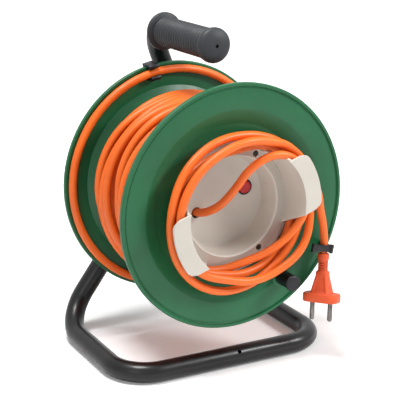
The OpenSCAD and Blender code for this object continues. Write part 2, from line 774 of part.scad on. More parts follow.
module reset_button() {
    recess_z = floor_z - recess_depth;
    stop = recess_z - button_lip - end_gap / 3;
    color("#c8202a") on_axle() spin(bowl_turn, button_r) {
        translate([0, 0, stop - button_flange_t]) cylinder(h = button_flange_t, r = button_flange_r);
        translate([0, 0, stop - 4]) cylinder(h = 8 + recess_depth - 1.4, d = button_d);
        translate([0, 0, stop + 4 + recess_depth - 1.4]) cylinder(h = 1, d1 = button_d, d2 = button_d - 2);
    }
}

// ---- winding ----

// Inner layers of the long cord, with the pocket where the outer layer climbs out of them
module winding_core() {
    low = wind_end_z - cord_d / 2 - 0.5;
    color("#d9641f") on_axle() difference() {
        ring(core_r, barrel_d / 2 + seat_fit, low, inner_z - seat_fit);
        rotate([0, 0, wind_start_angle])
            translate([pocket_r, -cord_d / 2 - 0.6, wind_start_z - cord_d / 2 - 1.2])
            cube([20, 22, 20]);
    }
}

// The turns lie a little askew, all by the same amount
function wound_z(a) =
    wind_start_z - wind_pitch * (a - wind_start_angle) / 360 + wind_skew * (sin(a + 120) - 1);
function wind_z(a) =
    a < wind_end_angle ? wound_z(a)
    : a < wind_end_angle + climb_sweep
        ? wind_end_z + (rim_cord_z - wind_end_z) * ease((a - wind_end_angle) / climb_sweep)
    : rim_cord_z + (socket_z - rim_cord_z)
        * ease((a - wind_end_angle - climb_sweep - rim_sweep) / cross_sweep);
function wind_at(a) =
    a < wind_end_angle ? wind_r
    : a < wind_end_angle + climb_sweep
        ? wind_r + (rim_cord_r - wind_r) * ease((a - wind_end_angle) / climb_sweep)
    : rim_cord_r + 2.2 * ease((a - wind_end_angle - climb_sweep - rim_sweep) / cross_sweep);
function on_drum(r, a, z) = [r * cos(a), r * sin(a), z];
wind_last = wind_end_angle + climb_sweep + rim_sweep + cross_sweep;
wind_path = concat(
    [
        on_drum(pocket_r, wind_start_angle, wind_start_z),
        on_drum(pocket_r + cord_d, wind_start_angle, wind_start_z),
        on_drum(wind_r - 1.6, wind_start_angle + 2, wind_start_z),
        on_drum(wind_r, wind_start_angle + 7, wind_start_z)
    ],
    [
        for (a = [wind_start_angle + ring_step:ring_step:wind_last - ring_step / 2])
            on_drum(wind_at(a), a, wind_z(a))
    ],
    [
        [socket_x, socket_y - socket_relief - cord_d, socket_z],
        [socket_x, socket_y - socket_relief, socket_z]
    ]
);
module cord_winding() {
    color("#ee7a30") on_axle() swept_tube(wind_path, cord_d, 6);
    echo(gap_in_winding = least_gap(wind_path, cord_d, 12));
}

// Moulded socket that the long cord ends in
module extension_socket() {
    half_t = socket_t / 2;
    color("#e8692b") on_axle() translate([socket_x, socket_y, socket_z]) rotate([-90, 0, 0]) difference() {
        union() {
            linear_extrude(socket_len) rounded(socket_t, socket_w, 7);
            translate([0, 0, -socket_relief])
                cylinder(h = socket_relief + 1, d1 = cord_d + 2, d2 = cord_d + 6);
        }
        translate([0, 0, socket_len - 1.2]) linear_extrude(2) rounded(socket_t - 5, socket_w - 5, 5);
        for (s = [-1, 1]) translate([0, s * pin_pitch / 2, socket_len - contact_len - 1.2])
            cylinder(h = contact_len + 2, r = contact_r);
    }
}
// Sleeves in the socket that grip a plug's pins
module socket_contacts() {
    color("#c9a24a") on_axle() translate([socket_x, socket_y, socket_z]) rotate([-90, 0, 0])
        for (s = [-1, 1]) translate([0, s * pin_pitch / 2, socket_len - contact_len - 1.2]) difference() {
            cylinder(h = contact_len - 1, r = contact_r);
            translate([0, 0, 1]) cylinder(h = contact_len, r = pin_d / 2 + 0.1);
        }
}
// Rectangle with round corners
module rounded(w, h, r) {
    square([w - 2 * r, h], center = true);
    square([w, h - 2 * r], center = true);
    for (x = [-1, 1]) for (y = [-1, 1]) translate([x * (w / 2 - r), y * (h / 2 - r)]) circle(r = r);
}

// Snap clip over the rear rim, round the long cord
module rim_clip() {
    rim_r = flange_d / 2;
    back_z = face_z - flange_t;
    low = rim_cord_r - cord_d / 2 - 3;
    color("#1d1d1f") on_axle() rotate([0, 0, rim_clip_angle]) difference() {
        translate([low, -rim_clip_w / 2, -rim_z - 2.6])
            cube([rim_r + 2.8 - low, rim_clip_w, rim_z + 2.6 + rim_cord_z + cord_d / 2 + 2.4]);
        translate([rim_cord_r, 0, rim_cord_z]) rotate([90, 0, 0])
            cylinder(h = rim_clip_w + 2, d = cord_d + 1.8, center = true);
        translate([low - 1, -rim_clip_w, -rim_z - 0.2])
            cube([rim_r + 0.2 - low + 1, 2 * rim_clip_w, rim_step + flange_t + 1.2]);
        translate([low - 1, -rim_clip_w, -rim_z - 6])
            cube([rim_r - 6 - low, 2 * rim_clip_w, 8]);
    }
}

// ---- plug lead ----

module lead_start() {
    path = concat(lead_start_points, [coil_path[0] - 3 * unit(coil_path[1] - coil_path[0]), coil_path[0]]);
    color("#f07d35") on_axle() swept_tube(path, cord_d, 8);
}

function coil_value(table, s) =
    let (
        turn = min(floor(s / 360), len(table) - 1),
        n = len(coil_stations),
        before = turn > 0 ? [table[turn - 1][n - 1]] : [table[0][0]],
        after = turn < len(table) - 1 ? [table[turn + 1][0]] : [],
        row = concat(before, table[turn], after),
        places = [
            for (i = [0:len(row) - 1])
                i == 0 ? coil_stations[n - 1] - 360 : i <= n ? coil_stations[i - 1] : 360
        ],
        x = s - turn * 360
    )
    hermite(places, row, x, seat_of(places, x));
function coil_point(s) = on_drum(coil_value(coil_r, s), coil_start - s, coil_value(coil_z, s));
coil_path = [for (s = [0:ring_step:coil_sweep]) coil_point(s)];
module lead_coil() {
    color("#f07d35") on_axle() swept_tube(coil_path, cord_d, 6);
    echo(gap_in_coil = least_gap(coil_path, cord_d, 12));
}

module lead_tail() {
    end = coil_path[len(coil_path) - 1];
    along = unit(end - coil_path[len(coil_path) - 2]);
    path = concat([end, end + 3 * along], lead_tail_points, [plug_top + 3 * plug_up, plug_top]);
    color("#f07d35") on_axle() swept_tube(path, cord_d, 8);
}

// Clip on the front flange, above the plug: a bar with raised ends, on a foot, with the lead through it
module lead_clip() {
    half = lead_clip_len / 2;
    wide = lead_clip_w / 2;
    low = lead_clip_front - lead_clip_plate;
    recess = 0.9;
    color("#1d1d1f") on_axle() translate([lead_clip_at[0], lead_clip_at[1], 0])
    rotate([0, 0, lead_clip_turn]) difference() {
        union() {
            translate([-half, -wide, low]) cube([lead_clip_len, lead_clip_w, lead_clip_plate]);
            translate([-3, -wide, face_z]) cube([half + 3, lead_clip_foot_w, low - face_z + 1]);
        }
        translate([-half + lead_clip_ends[0], -wide - 1, lead_clip_front - recess])
            cube([lead_clip_len - lead_clip_ends[0] - lead_clip_ends[1], lead_clip_w + 2, recess + 1]);
        rotate([0, 0, -lead_clip_turn]) translate([plug_top[0] - lead_clip_at[0], 0, plug_top[2]])
            rotate([90, 0, 0]) cylinder(h = lead_clip_w * 2, d = cord_d + 1.6, center = true);
    }
}

// The plug's own frame: local Z runs from the pins up to the cord, and 0 is the relief's top
module at_plug() {
    on_axle() translate(plug_top) rotate([0, 0, -plug_aside]) rotate([-plug_lean - 90, 0, 0])
        rotate([0, 0, plug_turn]) children();
}
// Slotted strain relief, shoulder, flared body with a shallow recess in each broad face, and foot
module plug_body() {
    low = -relief_len - plug_body_len;
    shoulder = 3.5;
    color("#e9652c") at_plug() difference() {
        union() {
            translate([0, 0, -relief_len - 1])
                cylinder(h = relief_len + 1, r1 = cord_d / 2 + 0.8, r2 = cord_d / 2 + 1.1);
            translate([0, 0, -relief_len - shoulder]) linear_extrude(shoulder) rounded(12, 10, 2);
            hull() {
                translate([0, 0, -relief_len - shoulder - 1]) linear_extrude(1) rounded(12, 10, 2);
                translate([0, 0, low - 1]) linear_extrude(3) rounded(20, 15.5, 2.5);
            }
            translate([0, 0, -plug_foot_z]) linear_extrude(plug_foot_t)
                rounded(plug_w, plug_t, plug_corner);
        }
        for (i = [0:2]) for (s = [-1, 1]) translate([0, s * 5.3, -relief_len + 2.5 + 2.7 * i])
            cube([8, 4, 1.1], center = true);
        for (s = [-1, 1]) translate([0, s * (plug_t / 2 - 1.4), low + 8])
            rotate([s * -6, 0, 0]) cube([11, 6, 11], center = true);
        for (s = [-1, 1]) translate([s * pin_pitch / 2, 0, -plug_foot_z - 1])
            cylinder(h = pin_root_len + 1, r = pin_root_r);
    }
}
module plug_pins() {
    tip = 1.4;
    color("#9b9c9e") at_plug() for (s = [-1, 1]) translate([s * pin_pitch / 2, 0, -plug_foot_z]) {
        translate([0, 0, -1]) cylinder(h = pin_root_len + 1, r = pin_root_r);
        translate([0, 0, -pin_len + tip]) cylinder(h = pin_len - tip, d = pin_d);
        translate([0, 0, -pin_len]) cylinder(h = tip, d1 = pin_d - 2, d2 = pin_d);
    }
}

// ---- knob ----

module knob_pin() {
    back = face_z - flange_t - 3.6;
    color("#a6a9ad") on_axle() spin(knob_angle, knob_r) {
        translate([0, 0, back]) cylinder(h = pin_front - back, d = knob_pin_d);
        translate([0, 0, pin_front - pin_head_t]) cylinder(h = pin_head_t, r = pin_head_r);
    }
}
module winding_knob() {
    low = knob_seat + end_gap;
    high = knob_seat + knob_h;
    r = knob_d / 2;
    color("#232325") on_axle() spin(knob_angle, knob_r) difference() {
        rotate_extrude() polygon([
            [0, low], [r - 1, low], [r - 0.4, low + 1], [r - 0.8, high - 4], [r, high - 3],
            [r, high - 1.5], [r - 1.5, high], [0, high]
        ]);
        translate([0, 0, low - 1]) cylinder(h = pin_front - low + 1, r = knob_pin_d / 2 + running_fit);
        translate([0, 0, pin_front - pin_head_t - end_gap])
            cylinder(h = pin_head_t + 2 * end_gap, r = pin_head_r + end_gap);
    }
}

frame_tube();
handle_grip();
axle();
axle_spacer();
axle_washers();
axle_nut();
retaining_ring();
front_flange();
rear_flange();
drum_barrel();
hub_bushes();
flange_screws();
lead_bowl();
bowl_screws();
lead_gland();
cutout_body();
reset_button();
winding_core();
cord_winding();
extension_socket();
socket_contacts();
rim_clip();
lead_start();
lead_coil();
lead_tail();
lead_clip();
plug_body();
plug_pins();
knob_pin();
winding_knob();
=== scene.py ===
# %% [markdown]
# # Dressing an extension cord reel
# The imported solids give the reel's true size and its moving bodies. This lesson loads them as a fixed
# frame, models the pieces that the eye rests on with bmesh, lays the cords as curves, and gives every
# surface a procedural finish. Lengths in the helpers are millimetres, as on a workshop drawing.

# %% Load the reel's frame
import math

import bmesh
import bpy
from mathutils import Matrix, Vector


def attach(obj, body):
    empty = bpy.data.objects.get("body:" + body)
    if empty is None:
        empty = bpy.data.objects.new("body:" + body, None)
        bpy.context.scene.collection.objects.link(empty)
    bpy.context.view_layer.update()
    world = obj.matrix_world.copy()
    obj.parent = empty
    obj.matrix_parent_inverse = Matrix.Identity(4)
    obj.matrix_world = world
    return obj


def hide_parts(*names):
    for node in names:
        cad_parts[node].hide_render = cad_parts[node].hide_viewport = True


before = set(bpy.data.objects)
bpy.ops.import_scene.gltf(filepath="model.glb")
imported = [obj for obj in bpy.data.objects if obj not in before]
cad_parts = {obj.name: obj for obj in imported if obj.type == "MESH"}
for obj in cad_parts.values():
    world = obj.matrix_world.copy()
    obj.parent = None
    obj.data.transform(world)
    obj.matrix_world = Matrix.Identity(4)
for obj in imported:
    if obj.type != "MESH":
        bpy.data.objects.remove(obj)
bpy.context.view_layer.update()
# Millimetres to metres, the axle's height, and how far the drum's middle lies in front of the origin
MM = 0.001
AXLE_H = 165.0
MID_Y = 10.25
REEL = Matrix.Scale(MM, 4) @ Matrix.Translation((0, -MID_Y, 0))
DRUM = REEL @ Matrix.Translation((0, 0, AXLE_H)) @ Matrix.Rotation(math.radians(90), 4, "X")

# %% [markdown]
# ## Camera
# The reel is seen from the left and a little above, through a long lens, so its far flange is only a
# little smaller than its near one. The camera's axes are written out as a matrix, because the view also
# has a slight roll.

# %% Camera
camera_data = bpy.data.cameras.new("studio_camera")
camera_data.lens = 105.287
camera_data.sensor_width = 36
camera_data.clip_start = 0.05
camera_data.clip_end = 20
camera = bpy.data.objects.new("studio_camera", camera_data)
bpy.context.scene.collection.objects.link(camera)
CAMERA_AT = (-0.546008, -0.986553, 0.481587)
CAMERA_RIGHT = Vector((0.87556, -0.48284, 0.01575))
CAMERA_UP = Vector((0.12203, 0.25259, 0.95985))
CAMERA_BACK = Vector((-0.46743, -0.83849, 0.28008))
camera.matrix_world = Matrix.Translation(CAMERA_AT) @ Matrix(
    (CAMERA_RIGHT, CAMERA_UP, CAMERA_BACK)
).transposed().to_4x4()
bpy.context.scene.camera = camera
print("camera height:", round(camera.matrix_world.translation.z, 3), "m")

# %% [markdown]
# ## Routes of the two cords
# A cord is a fixed length of something flexible, so its route comes before its looks. Each route is a list
# of points in the drum's own frame: x to the right, y up, z to the front. Turns are worked out from an
# angle, and the free stretches are listed points that a smooth curve passes through.

# %% Curves through points
def ease(t):
    """A smooth step from 0 to 1."""
    t = min(max(t, 0.0), 1.0)
    return t * t * (3 - 2 * t)


def polar(radius, degrees, depth):
    """A point at a radius and an angle about the drum's axis."""
    a = math.radians(degrees)
    return Vector((radius * math.cos(a), radius * math.sin(a), depth))


def smooth_line(points, steps=4):
    """Points of a Catmull-Rom curve through the given points."""
    pts = [Vector(p) for p in points]
    pts = [pts[0] * 2 - pts[1]] + pts + [pts[-1] * 2 - pts[-2]]
    out = []
    for i in range(1, len(pts) - 2):
        a, b, c, d = pts[i - 1 : i + 3]
        square, cube = 2 * a - 5 * b + 4 * c - d, 3 * b - a - 3 * c + d
        for k in range(steps):
            t = k / steps
            out.append(0.5 * (2 * b + (c - a) * t + square * t * t + cube * t**3))
    out.append(pts[-2])
    return out


def length_of(points):
    """The length along a row of points."""
    return sum((b - a).length for a, b in zip(points, points[1:]))


def evenly(points, step):
    """The same line with its points a fixed step apart."""
    out = [points[0].copy()]
    left = step
    for a, b in zip(points, points[1:]):
        span = (b - a).length
        at = 0.0
        while span - at > left:
            at += left
            out.append(a.lerp(b, at / span))
            left = step
        left -= span - at
    if (points[-1] - out[-1]).length < step / 2:
        out.pop()
    return out + [points[-1].copy()]


def stiff(points, tightest=38.0, step=4.0, sweeps=3000):
    """A cord resists a sharp bend: each point that bends too much is shared out among its neighbours."""
    pts = evenly(points, step)
    allowed = step * step / (2 * tightest)
    busy = set(range(2, len(pts) - 2))
    for _ in range(sweeps):
        tight = set()
        for i in sorted(busy):
            lean = (pts[i - 1] + pts[i + 1]) * 0.5 - pts[i]
            if lean.length > allowed:
                push = lean * (0.5 * (1 - allowed / lean.length))
                pts[i] += push
                if i > 2:
                    pts[i - 1] -= push * 0.5
                if i < len(pts) - 3:
                    pts[i + 1] -= push * 0.5
                tight.update(range(max(2, i - 2), min(len(pts) - 2, i + 3)))
        busy = tight
        if not busy:
            break
    return pts


quarter = smooth_line([polar(10, a, 0) for a in range(0, 91, 15)])
print("a quarter turn of radius 10 measures", round(length_of(quarter), 2))

# %% [markdown]
# ## Route of the plug lead
# The lead lies in four uneven turns behind the cleats, comes up out of the bowl before them and hangs down to
# the plug after them. A spiral with an even pitch would be shorter to write, but it looks machine made. So
# each turn has a row of radii and a row of depths at the same angles, and a smooth curve runs through them.

# %% The plug lead's route
CORD_D = 8.0
# Where the turns start, how far round they go, and the angle from one of their points to the next
COIL_START = 47
COIL_SWEEP, COIL_STEP = 4 * 360 + 30, 5
# The stations' angles along a turn, then the radius and the depth at each of them, turn by turn
COIL_PLACES = [0, 30, 55, 80, 104, 128, 152, 180, 234, 262, 290, 318, 340]
COIL_R = [
    [68.6, 72, 69, 62, 57, 56, 62, 69, 67.5, 63, 57, 56.5, 63.3],
    [66.8, 66, 66, 68.5, 69.3, 66, 64.2, 68.5, 68.3, 63, 61, 64.5, 66.5],
    [67, 68.5, 71, 72.5, 73, 77, 80, 80.2, 76, 75.3, 72.3, 70.3, 72.4],
    [75.4, 77.3, 80, 80.3, 75, 70.5, 66.5, 70, 69.3, 67, 65.8, 68, 70.5],
    [75.8, 79.8],
]
COIL_Z = [
    [84.6, 83.1, 81.3, 77, 72.5, 67.8, 65.5, 65.3, 65.4, 65.6, 65.8, 65.8, 65.4],
    [65.3, 65.2, 65.3, 65.2, 66.3, 70.8, 74, 74, 76.5, 77.5, 77, 75.5, 73.7],
    [73.9, 73.9, 72.6, 73.2, 74.2, 75.2, 76.4, 77.5, 80.5, 78, 73, 68.5, 67],
    [66.8, 69, 75.5, 82.3, 83.2, 83.4, 83, 82.6, 86, 85.5, 85.5, 85.1, 81.7],
    [78.5, 78.7],
]
# Where the lead enters the plug, and the way the plug's top faces there
PLUG_TOP = Vector((94.696, -55.328, 79.5))
PLUG_UP = Vector((0.113426, 0.980316, -0.161604))
LEAD_START = [
    (-26, -9.5, 26), (-26, -9.5, 34), (-25.8, -8.8, 41), (-23, -6.2, 49), (-18, -1, 57.5), (-12, 7, 64.5),
    (-7, 16, 70), (-1, 27, 75), (5, 37, 79), (12, 45, 82), (21, 50, 84), (30, 53, 85.2), (39.2, 53, 84.9),
]
LEAD_TAIL = [
    (82.5, 13.5, 79), (86.5, 2.5, 79), (88.5, -8.5, 78.8), (90, -14.7, 78.8), (91.6, -21, 79),
    (93.7, -33.7, 79.4), (94.7, -42, 79.5), (94.7, -49, 79.5),
]
print("stations on the turns:", sum(len(row) for row in COIL_R))

# %% [markdown]
# ## A smooth curve through the stations
# Straight lines between the stations would kink the lead, and one curve fitted to all of them would swing out
# between them. A cubic from each station to the next, with slopes taken from their neighbours, is smooth and
# stays close to both.

# %% The plug lead as a line
def coil_value(table, s):
    """Radius or depth of the coil at s degrees of sweep, on a smooth curve through the stations."""
    turn = min(int(s // 360), len(table) - 1)
    row = [table[turn - 1][-1] if turn else table[0][0]] + table[turn]
    row += [table[turn + 1][0]] if turn < len(table) - 1 else []
    places = ([COIL_PLACES[-1] - 360] + COIL_PLACES + [360])[: len(row)]
    x = s - turn * 360
    i = max(k for k in range(len(row) - 1) if places[k] <= x)

    def slope(k):
        if k in (0, len(row) - 1):
            return 0.0
        return (row[k + 1] - row[k - 1]) / (places[k + 1] - places[k - 1])

    w = places[i + 1] - places[i]
    t = (x - places[i]) / w
    return (
        row[i] * (1 + 2 * t) * (1 - t) ** 2 + row[i + 1] * t * t * (3 - 2 * t)
        + w * slope(i) * t * (1 - t) ** 2 - w * slope(i + 1) * t * t * (1 - t)
    )


def coil_point(s):
    return polar(coil_value(COIL_R, s), COIL_START - s, coil_value(COIL_Z, s))


coil_points = [coil_point(s) for s in range(0, COIL_SWEEP + 1, COIL_STEP)]
# How far the line runs on straight at the ends of the turns and into the plug
RUN_ON = 3
coil_in = coil_points[0] - (coil_points[1] - coil_points[0]).normalized() * RUN_ON
coil_out = coil_points[-1] + (coil_points[-1] - coil_points[-2]).normalized() * RUN_ON
lead_points = smooth_line(LEAD_START + [coil_in, coil_points[0]])[:-1] + coil_points
lead_end = [PLUG_TOP + PLUG_UP * RUN_ON, PLUG_TOP]
lead_points += smooth_line([coil_points[-1], coil_out] + LEAD_TAIL + lead_end)[1:]
lead_points = stiff(lead_points)
LEAD_LENGTH = length_of(lead_points)
print("plug lead:", round(LEAD_LENGTH), "mm")

# %% [markdown]
# ## Route of the long cord
# The long cord fills the drum in four layers, and only the last one shows. It has the faults of a cord wound
# by hand: a slant, and strands that ride over their neighbours. A texture of stripes would miss both, so the
# layer is a real line. After its last turn the cord climbs to the rear rim and follows it.

# %% The layer that shows
WIND_R, WIND_PITCH, WIND_TURNS = 91.0, 8.5, 10.583
WIND_FROM, WIND_FRONT = -30, 51.0
WIND_END_ANGLE = WIND_FROM + WIND_TURNS * 360
SLANT, SLANT_TURN = 2.0, 120
RIM_R, RIM_Z = 113.0, -59.9
CLIMB, RIM_SWEEP, CROSS = 160, 270, 88.6
CROSS_RISE = 2.2
SOCKET = Vector((107.3, -24.0, 10.0))

# Turns that ride up over a neighbour: turn, middle of the ride in degrees, half its sweep, shift, lift
RIDES = [
    (1, 195, 60, -3.6, 6.4), (3, 215, 70, 4.0, 6.6), (4, 175, 50, -3.0, 5.6), (6, 200, 75, -4.2, 6.8),
    (8, 235, 75, 3.8, 6.6), (9, 190, 50, -2.6, 5.2), (2, 265, 55, 2.4, 4.6), (7, 268, 50, -2.8, 5.0),
]


def ride(a):
    """How far a turn is shifted along the drum and lifted where it lies over its neighbour."""
    shift = lift = 0.0
    for turn, middle, half, along, up in RIDES:
        w = ease(1 - abs(a - WIND_FROM - turn * 360 - middle) / half)
        shift += along * w
        lift += up * (1 - (1 - w) ** 2)
    return shift, lift


def wound_depth(a):
    """How far to the front the layer that shows lies at an angle."""
    slant = SLANT * (math.sin(math.radians(a + SLANT_TURN)) - 1)
    return WIND_FRONT - WIND_PITCH * (a - WIND_FROM) / 360 + slant


def outer_layer(a):
    """A point of the layer that shows, then of the climb, the run along the rim and the way to the socket."""
    end = wound_depth(WIND_END_ANGLE)
    if a < WIND_END_ANGLE:
        shift, lift = ride(a)
        return polar(WIND_R + lift, a, wound_depth(a) + shift)
    b = a - WIND_END_ANGLE
    if b < CLIMB:
        f = ease(b / CLIMB)
        return polar(WIND_R + (RIM_R - WIND_R) * f, a, end + (RIM_Z - end) * f)
    f = ease((b - CLIMB - RIM_SWEEP) / CROSS)
    return polar(RIM_R + CROSS_RISE * f, a, RIM_Z + (SOCKET.z - RIM_Z) * f)


print("the winding ends at depth", round(wound_depth(WIND_END_ANGLE), 1), "mm")

# %% [markdown]
# ## Layers underneath
# The three inner layers show only between strands, but they give the cord its true length, so they are wound
# too, with no faults. The whole cord is then joined up and eased, because a real one resists a sharp bend.

# %% The inner layers and the whole cord
OUTER_FROM, OUTER_STEP = -110, 6
INNER_RADII, INNER_TURNS, INNER_STEP = (64.6, 73.4, 82.2), 12, 15
INNER_FIRST, INNER_FRONT, INNER_BACK = -30.0, 51.5, -40.0
# The angle whose depth on the layer that shows is where the last inner layer ends
INNER_JOIN = -23
# A layer climbs to the next one over its last degrees, and is at the flange a little before its end
LAYER_RISE, LAYER_CLIMB, EARLY = 8.8, 80, 1.02
SOCKET_RUN = (18, 10)


def inner_layers():
    """Three layers under the one that shows, wound to and fro from the hole in the barrel."""
    out = []
    sweep = INNER_TURNS * 360
    angle = OUTER_FROM + 360 - sweep * len(INNER_RADII)
    depth, end = INNER_FIRST, INNER_FRONT
    for radius in INNER_RADII:
        for at in range(0, sweep, INNER_STEP):
            climb = ease((at - (sweep - LAYER_CLIMB)) / LAYER_CLIMB) * LAYER_RISE
            out.append(polar(radius + climb, angle, depth + (end - depth) * min(at / sweep * EARLY, 1)))
            angle += INNER_STEP
        depth, end = end, INNER_BACK if end > 0 else wound_depth(INNER_JOIN)
    return out


outer_end = int(WIND_END_ANGLE + CLIMB + RIM_SWEEP + CROSS) - OUTER_STEP
outer_points = [outer_layer(a) for a in range(OUTER_FROM, outer_end, OUTER_STEP)]
socket_end = [SOCKET - Vector((0, below, 0)) for below in SOCKET_RUN]
long_points = inner_layers() + outer_points[1:-1] + smooth_line([outer_points[-1]] + socket_end)
long_points = stiff(long_points)
LONG_LENGTH = length_of(long_points)
print("long cord:", round(LONG_LENGTH), "mm")

# %% [markdown]
# ## Shader arithmetic
# A finish changes over a surface, and that change is worked out by nodes. Wired one by one they read badly,
# so one small class wraps a socket and gives it the usual operators: an expression adds its own nodes.

# %% A socket that can be calculated with
class Field:
    """A value that changes over a surface."""

    def __init__(self, tree, socket):
        self.tree, self.socket = tree, socket

    def math(self, operation, *values):
        node = self.tree.nodes.new("ShaderNodeMath")
        node.operation = operation
        for slot, value in zip(node.inputs, values):
            put(self.tree, slot, value)
        return Field(self.tree, node.outputs[0])

    def __add__(self, other):
        return self.math("ADD", self, other)

    def __sub__(self, other):
        return self.math("SUBTRACT", self, other)

    def __rsub__(self, other):
        return self.math("SUBTRACT", other, self)

    def __mul__(self, other):
        return self.math("MULTIPLY", self, other)

    __radd__ = __add__
    __rmul__ = __mul__


def put(tree, slot, value):
    """Links a field to a socket, or writes a plain value into it."""
    if isinstance(value, Field):
        tree.links.new(value.socket, slot)
    elif hasattr(value, "__len__") and len(value) == 3 and slot.type == "RGBA":
        slot.default_value = (*value, 1)
    else:
        slot.default_value = value


# %% [markdown]
# ## A material as a class
# Each finish is one Principled shader. A method of the class adds any other node, with its settings first and
# its sockets after. A number that is the same all over goes on the shader's own socket, with no node.

# %% A finish
OBJECT_COORDS, VECTOR_LENGTH, MIXED_COLOUR = 3, 1, 2


class Finish:
    """A material with one Principled shader, and a method that adds any other node."""

    def __init__(self, name, **plain):
        self.material = bpy.data.materials.new(name)
        self.material.use_nodes = True
        self.tree = self.material.node_tree
        self.shader = self.tree.nodes["Principled BSDF"]
        for key, value in plain.items():
            put(self.tree, self.shader.inputs[key.replace("_", " ")], value)

    def node(self, kind, settings=None, output=0, **inputs):
        """Any node: its settings come first, then its sockets, by name or as _0, _1 by number."""
        made = self.tree.nodes.new("ShaderNode" + kind)
        for key, value in (settings or {}).items():
            setattr(made, key, value)
        for key, value in inputs.items():
            slot = made.inputs[int(key[1:])] if key[0] == "_" else made.inputs[key.replace("_", " ")]
            put(self.tree, slot, value)
        return Field(self.tree, made.outputs[output])

    def place(self, scale=(1, 1, 1)):
        """Object coordinates, stretched."""
        coords = self.node("TexCoord", output=OBJECT_COORDS)
        return self.node("Mapping", Vector=coords, Scale=scale)

    def noise(self, scale, detail=3.0, roughness=0.5, stretch=(1, 1, 1)):
        place = self.place(stretch)
        return self.node("TexNoise", Vector=place, Scale=scale, Detail=detail, Roughness=roughness)

    def between(self, mask, low, high):
        """One colour where the mask is 0, another where it is 1."""
        return self.node("Mix", {"data_type": "RGBA"}, MIXED_COLOUR, _0=mask, _6=(*low, 1), _7=(*high, 1))

    def span(self, value, low, high, to_low=0.0, to_high=1.0):
        """Maps low to high onto another range, and clamps."""
        ranges = {"From_Min": low, "From_Max": high, "To_Min": to_low, "To_Max": to_high}
        return self.node("MapRange", Value=value, **ranges)

    def use(self, **fields):
        for key, value in fields.items():
            put(self.tree, self.shader.inputs[key.replace("_", " ")], value)

    def bump(self, height, strength, distance):
        self.use(Normal=self.node("Bump", Height=height, Strength=strength, Distance=distance))


# %% [markdown]
# ## Moulded plastic, rubber and sheath
# The reel is mostly moulded plastic, which is never one even colour. One function gives it a slow drift of
# colour, waves of gloss from the mould, a few scuffs and a fine grain, and each piece has its own colours.

# %% Moulded finishes
GRAIN_DEPTH, SINK_WAVE = 0.0001, 0.0004


def moulded(name, colour, deep, gloss, grain=900.0, grain_height=0.25):
    """Moulded plastic: a slow drift of colour and gloss, faint sink waves and the mould's fine grain."""
    f = Finish(name, Specular_IOR_Level=0.36)
    drift = f.span(f.noise(14.0, 3.0, 0.6), 0.32, 0.68)
    speck = f.span(f.noise(420.0, 2.0), 0.25, 0.75, -0.12, 0.12)
    f.use(Base_Color=f.between(drift + speck, deep, colour))
    scuffs = f.span(f.noise(55.0, 6.0, 0.65, (1, 1, 3)), 0.52, 0.7)
    f.use(Roughness=f.span(f.noise(60.0, 4.0), 0.3, 0.7, gloss - 0.05, gloss + 0.06) + scuffs * 0.08)
    waves = f.noise(22.0, 2.0) * (SINK_WAVE / GRAIN_DEPTH)
    f.bump(f.noise(grain, 2.0) * 0.35 + waves, grain_height, GRAIN_DEPTH)
    return f


green = moulded("green_polypropylene", (0.009, 0.12, 0.044), (0.007, 0.095, 0.034), 0.38)
beige = moulded("beige_bowl_plastic", (0.56, 0.52, 0.46), (0.51, 0.474, 0.418), 0.44)
black = moulded("black_clip_plastic", (0.006, 0.006, 0.009), (0.004, 0.004, 0.006), 0.45)
plug_plastic = moulded("soft_orange_plug", (0.70, 0.09, 0.024), (0.62, 0.078, 0.018), 0.5)
red = moulded("red_button_plastic", (0.52, 0.015, 0.02), (0.42, 0.01, 0.015), 0.3)
natural = moulded("natural_bush_plastic", (0.72, 0.69, 0.62), (0.66, 0.63, 0.56), 0.45)
rubber = moulded(
    "ribbed_grip_rubber", (0.026, 0.028, 0.032), (0.018, 0.019, 0.022), 0.52, grain=700.0, grain_height=0.4
)
sheath = moulded(
    "orange_sheath", (0.80, 0.148, 0.016), (0.72, 0.122, 0.012), 0.4, grain=500.0, grain_height=0.3
)
print("moulded finishes:", len(bpy.data.materials))

# %% [markdown]
# ## Enamel and plate
# The tube's enamel is nearly black, so its form shows only in its gloss: a thin clear coat over a base that
# is a little rougher. The steel pieces are metal all through, with a skin that clouds and scratches.

# %% Enamel and plated steel
enamel = Finish("black_enamel", Coat_Weight=0.1, Coat_Roughness=0.12, Specular_IOR_Level=0.3)
enamel.use(Base_Color=enamel.between(
    enamel.span(enamel.noise(30.0), 0.3, 0.7), (0.003, 0.003, 0.0035), (0.005, 0.005, 0.006)
))
enamel.use(Roughness=enamel.span(enamel.noise(90.0, 5.0), 0.3, 0.7, 0.27, 0.4))
enamel.bump(enamel.noise(260.0, 3.0) + enamel.noise(35.0, 2.0) * 2, 0.22, 0.0002)


def plated(name, colour, dull, roughness):
    """Plated steel: a thin bright skin that clouds and scratches."""
    f = Finish(name, Metallic=1.0)
    f.use(Base_Color=f.between(f.span(f.noise(120.0, 4.0), 0.35, 0.7), colour, dull))
    f.use(Roughness=f.span(f.noise(300.0, 3.0), 0.3, 0.7, roughness - 0.07, roughness + 0.1))
    f.bump(f.noise(800.0, 2.0, 0.5, (1, 6, 1)), 0.2, 0.00005)
    return f


zinc = plated("zinc_plate", (0.62, 0.63, 0.65), (0.45, 0.46, 0.48), 0.3)
dark_steel = plated("oiled_spring_steel", (0.2, 0.2, 0.21), (0.12, 0.12, 0.12), 0.35)
nickel = plated("nickel_pin", (0.2, 0.185, 0.175), (0.12, 0.11, 0.105), 0.3)
# The bowl's screws are zinc, plated here near black: painted shade of the holes that they sit in.
screw_in_hole_shade = plated("screw_painted_hole_shade", (0.06, 0.055, 0.05), (0.03, 0.028, 0.026), 0.42)
brass = plated("contact_brass", (0.75, 0.55, 0.24), (0.6, 0.42, 0.18), 0.3)
print("finishes:", len(bpy.data.materials))

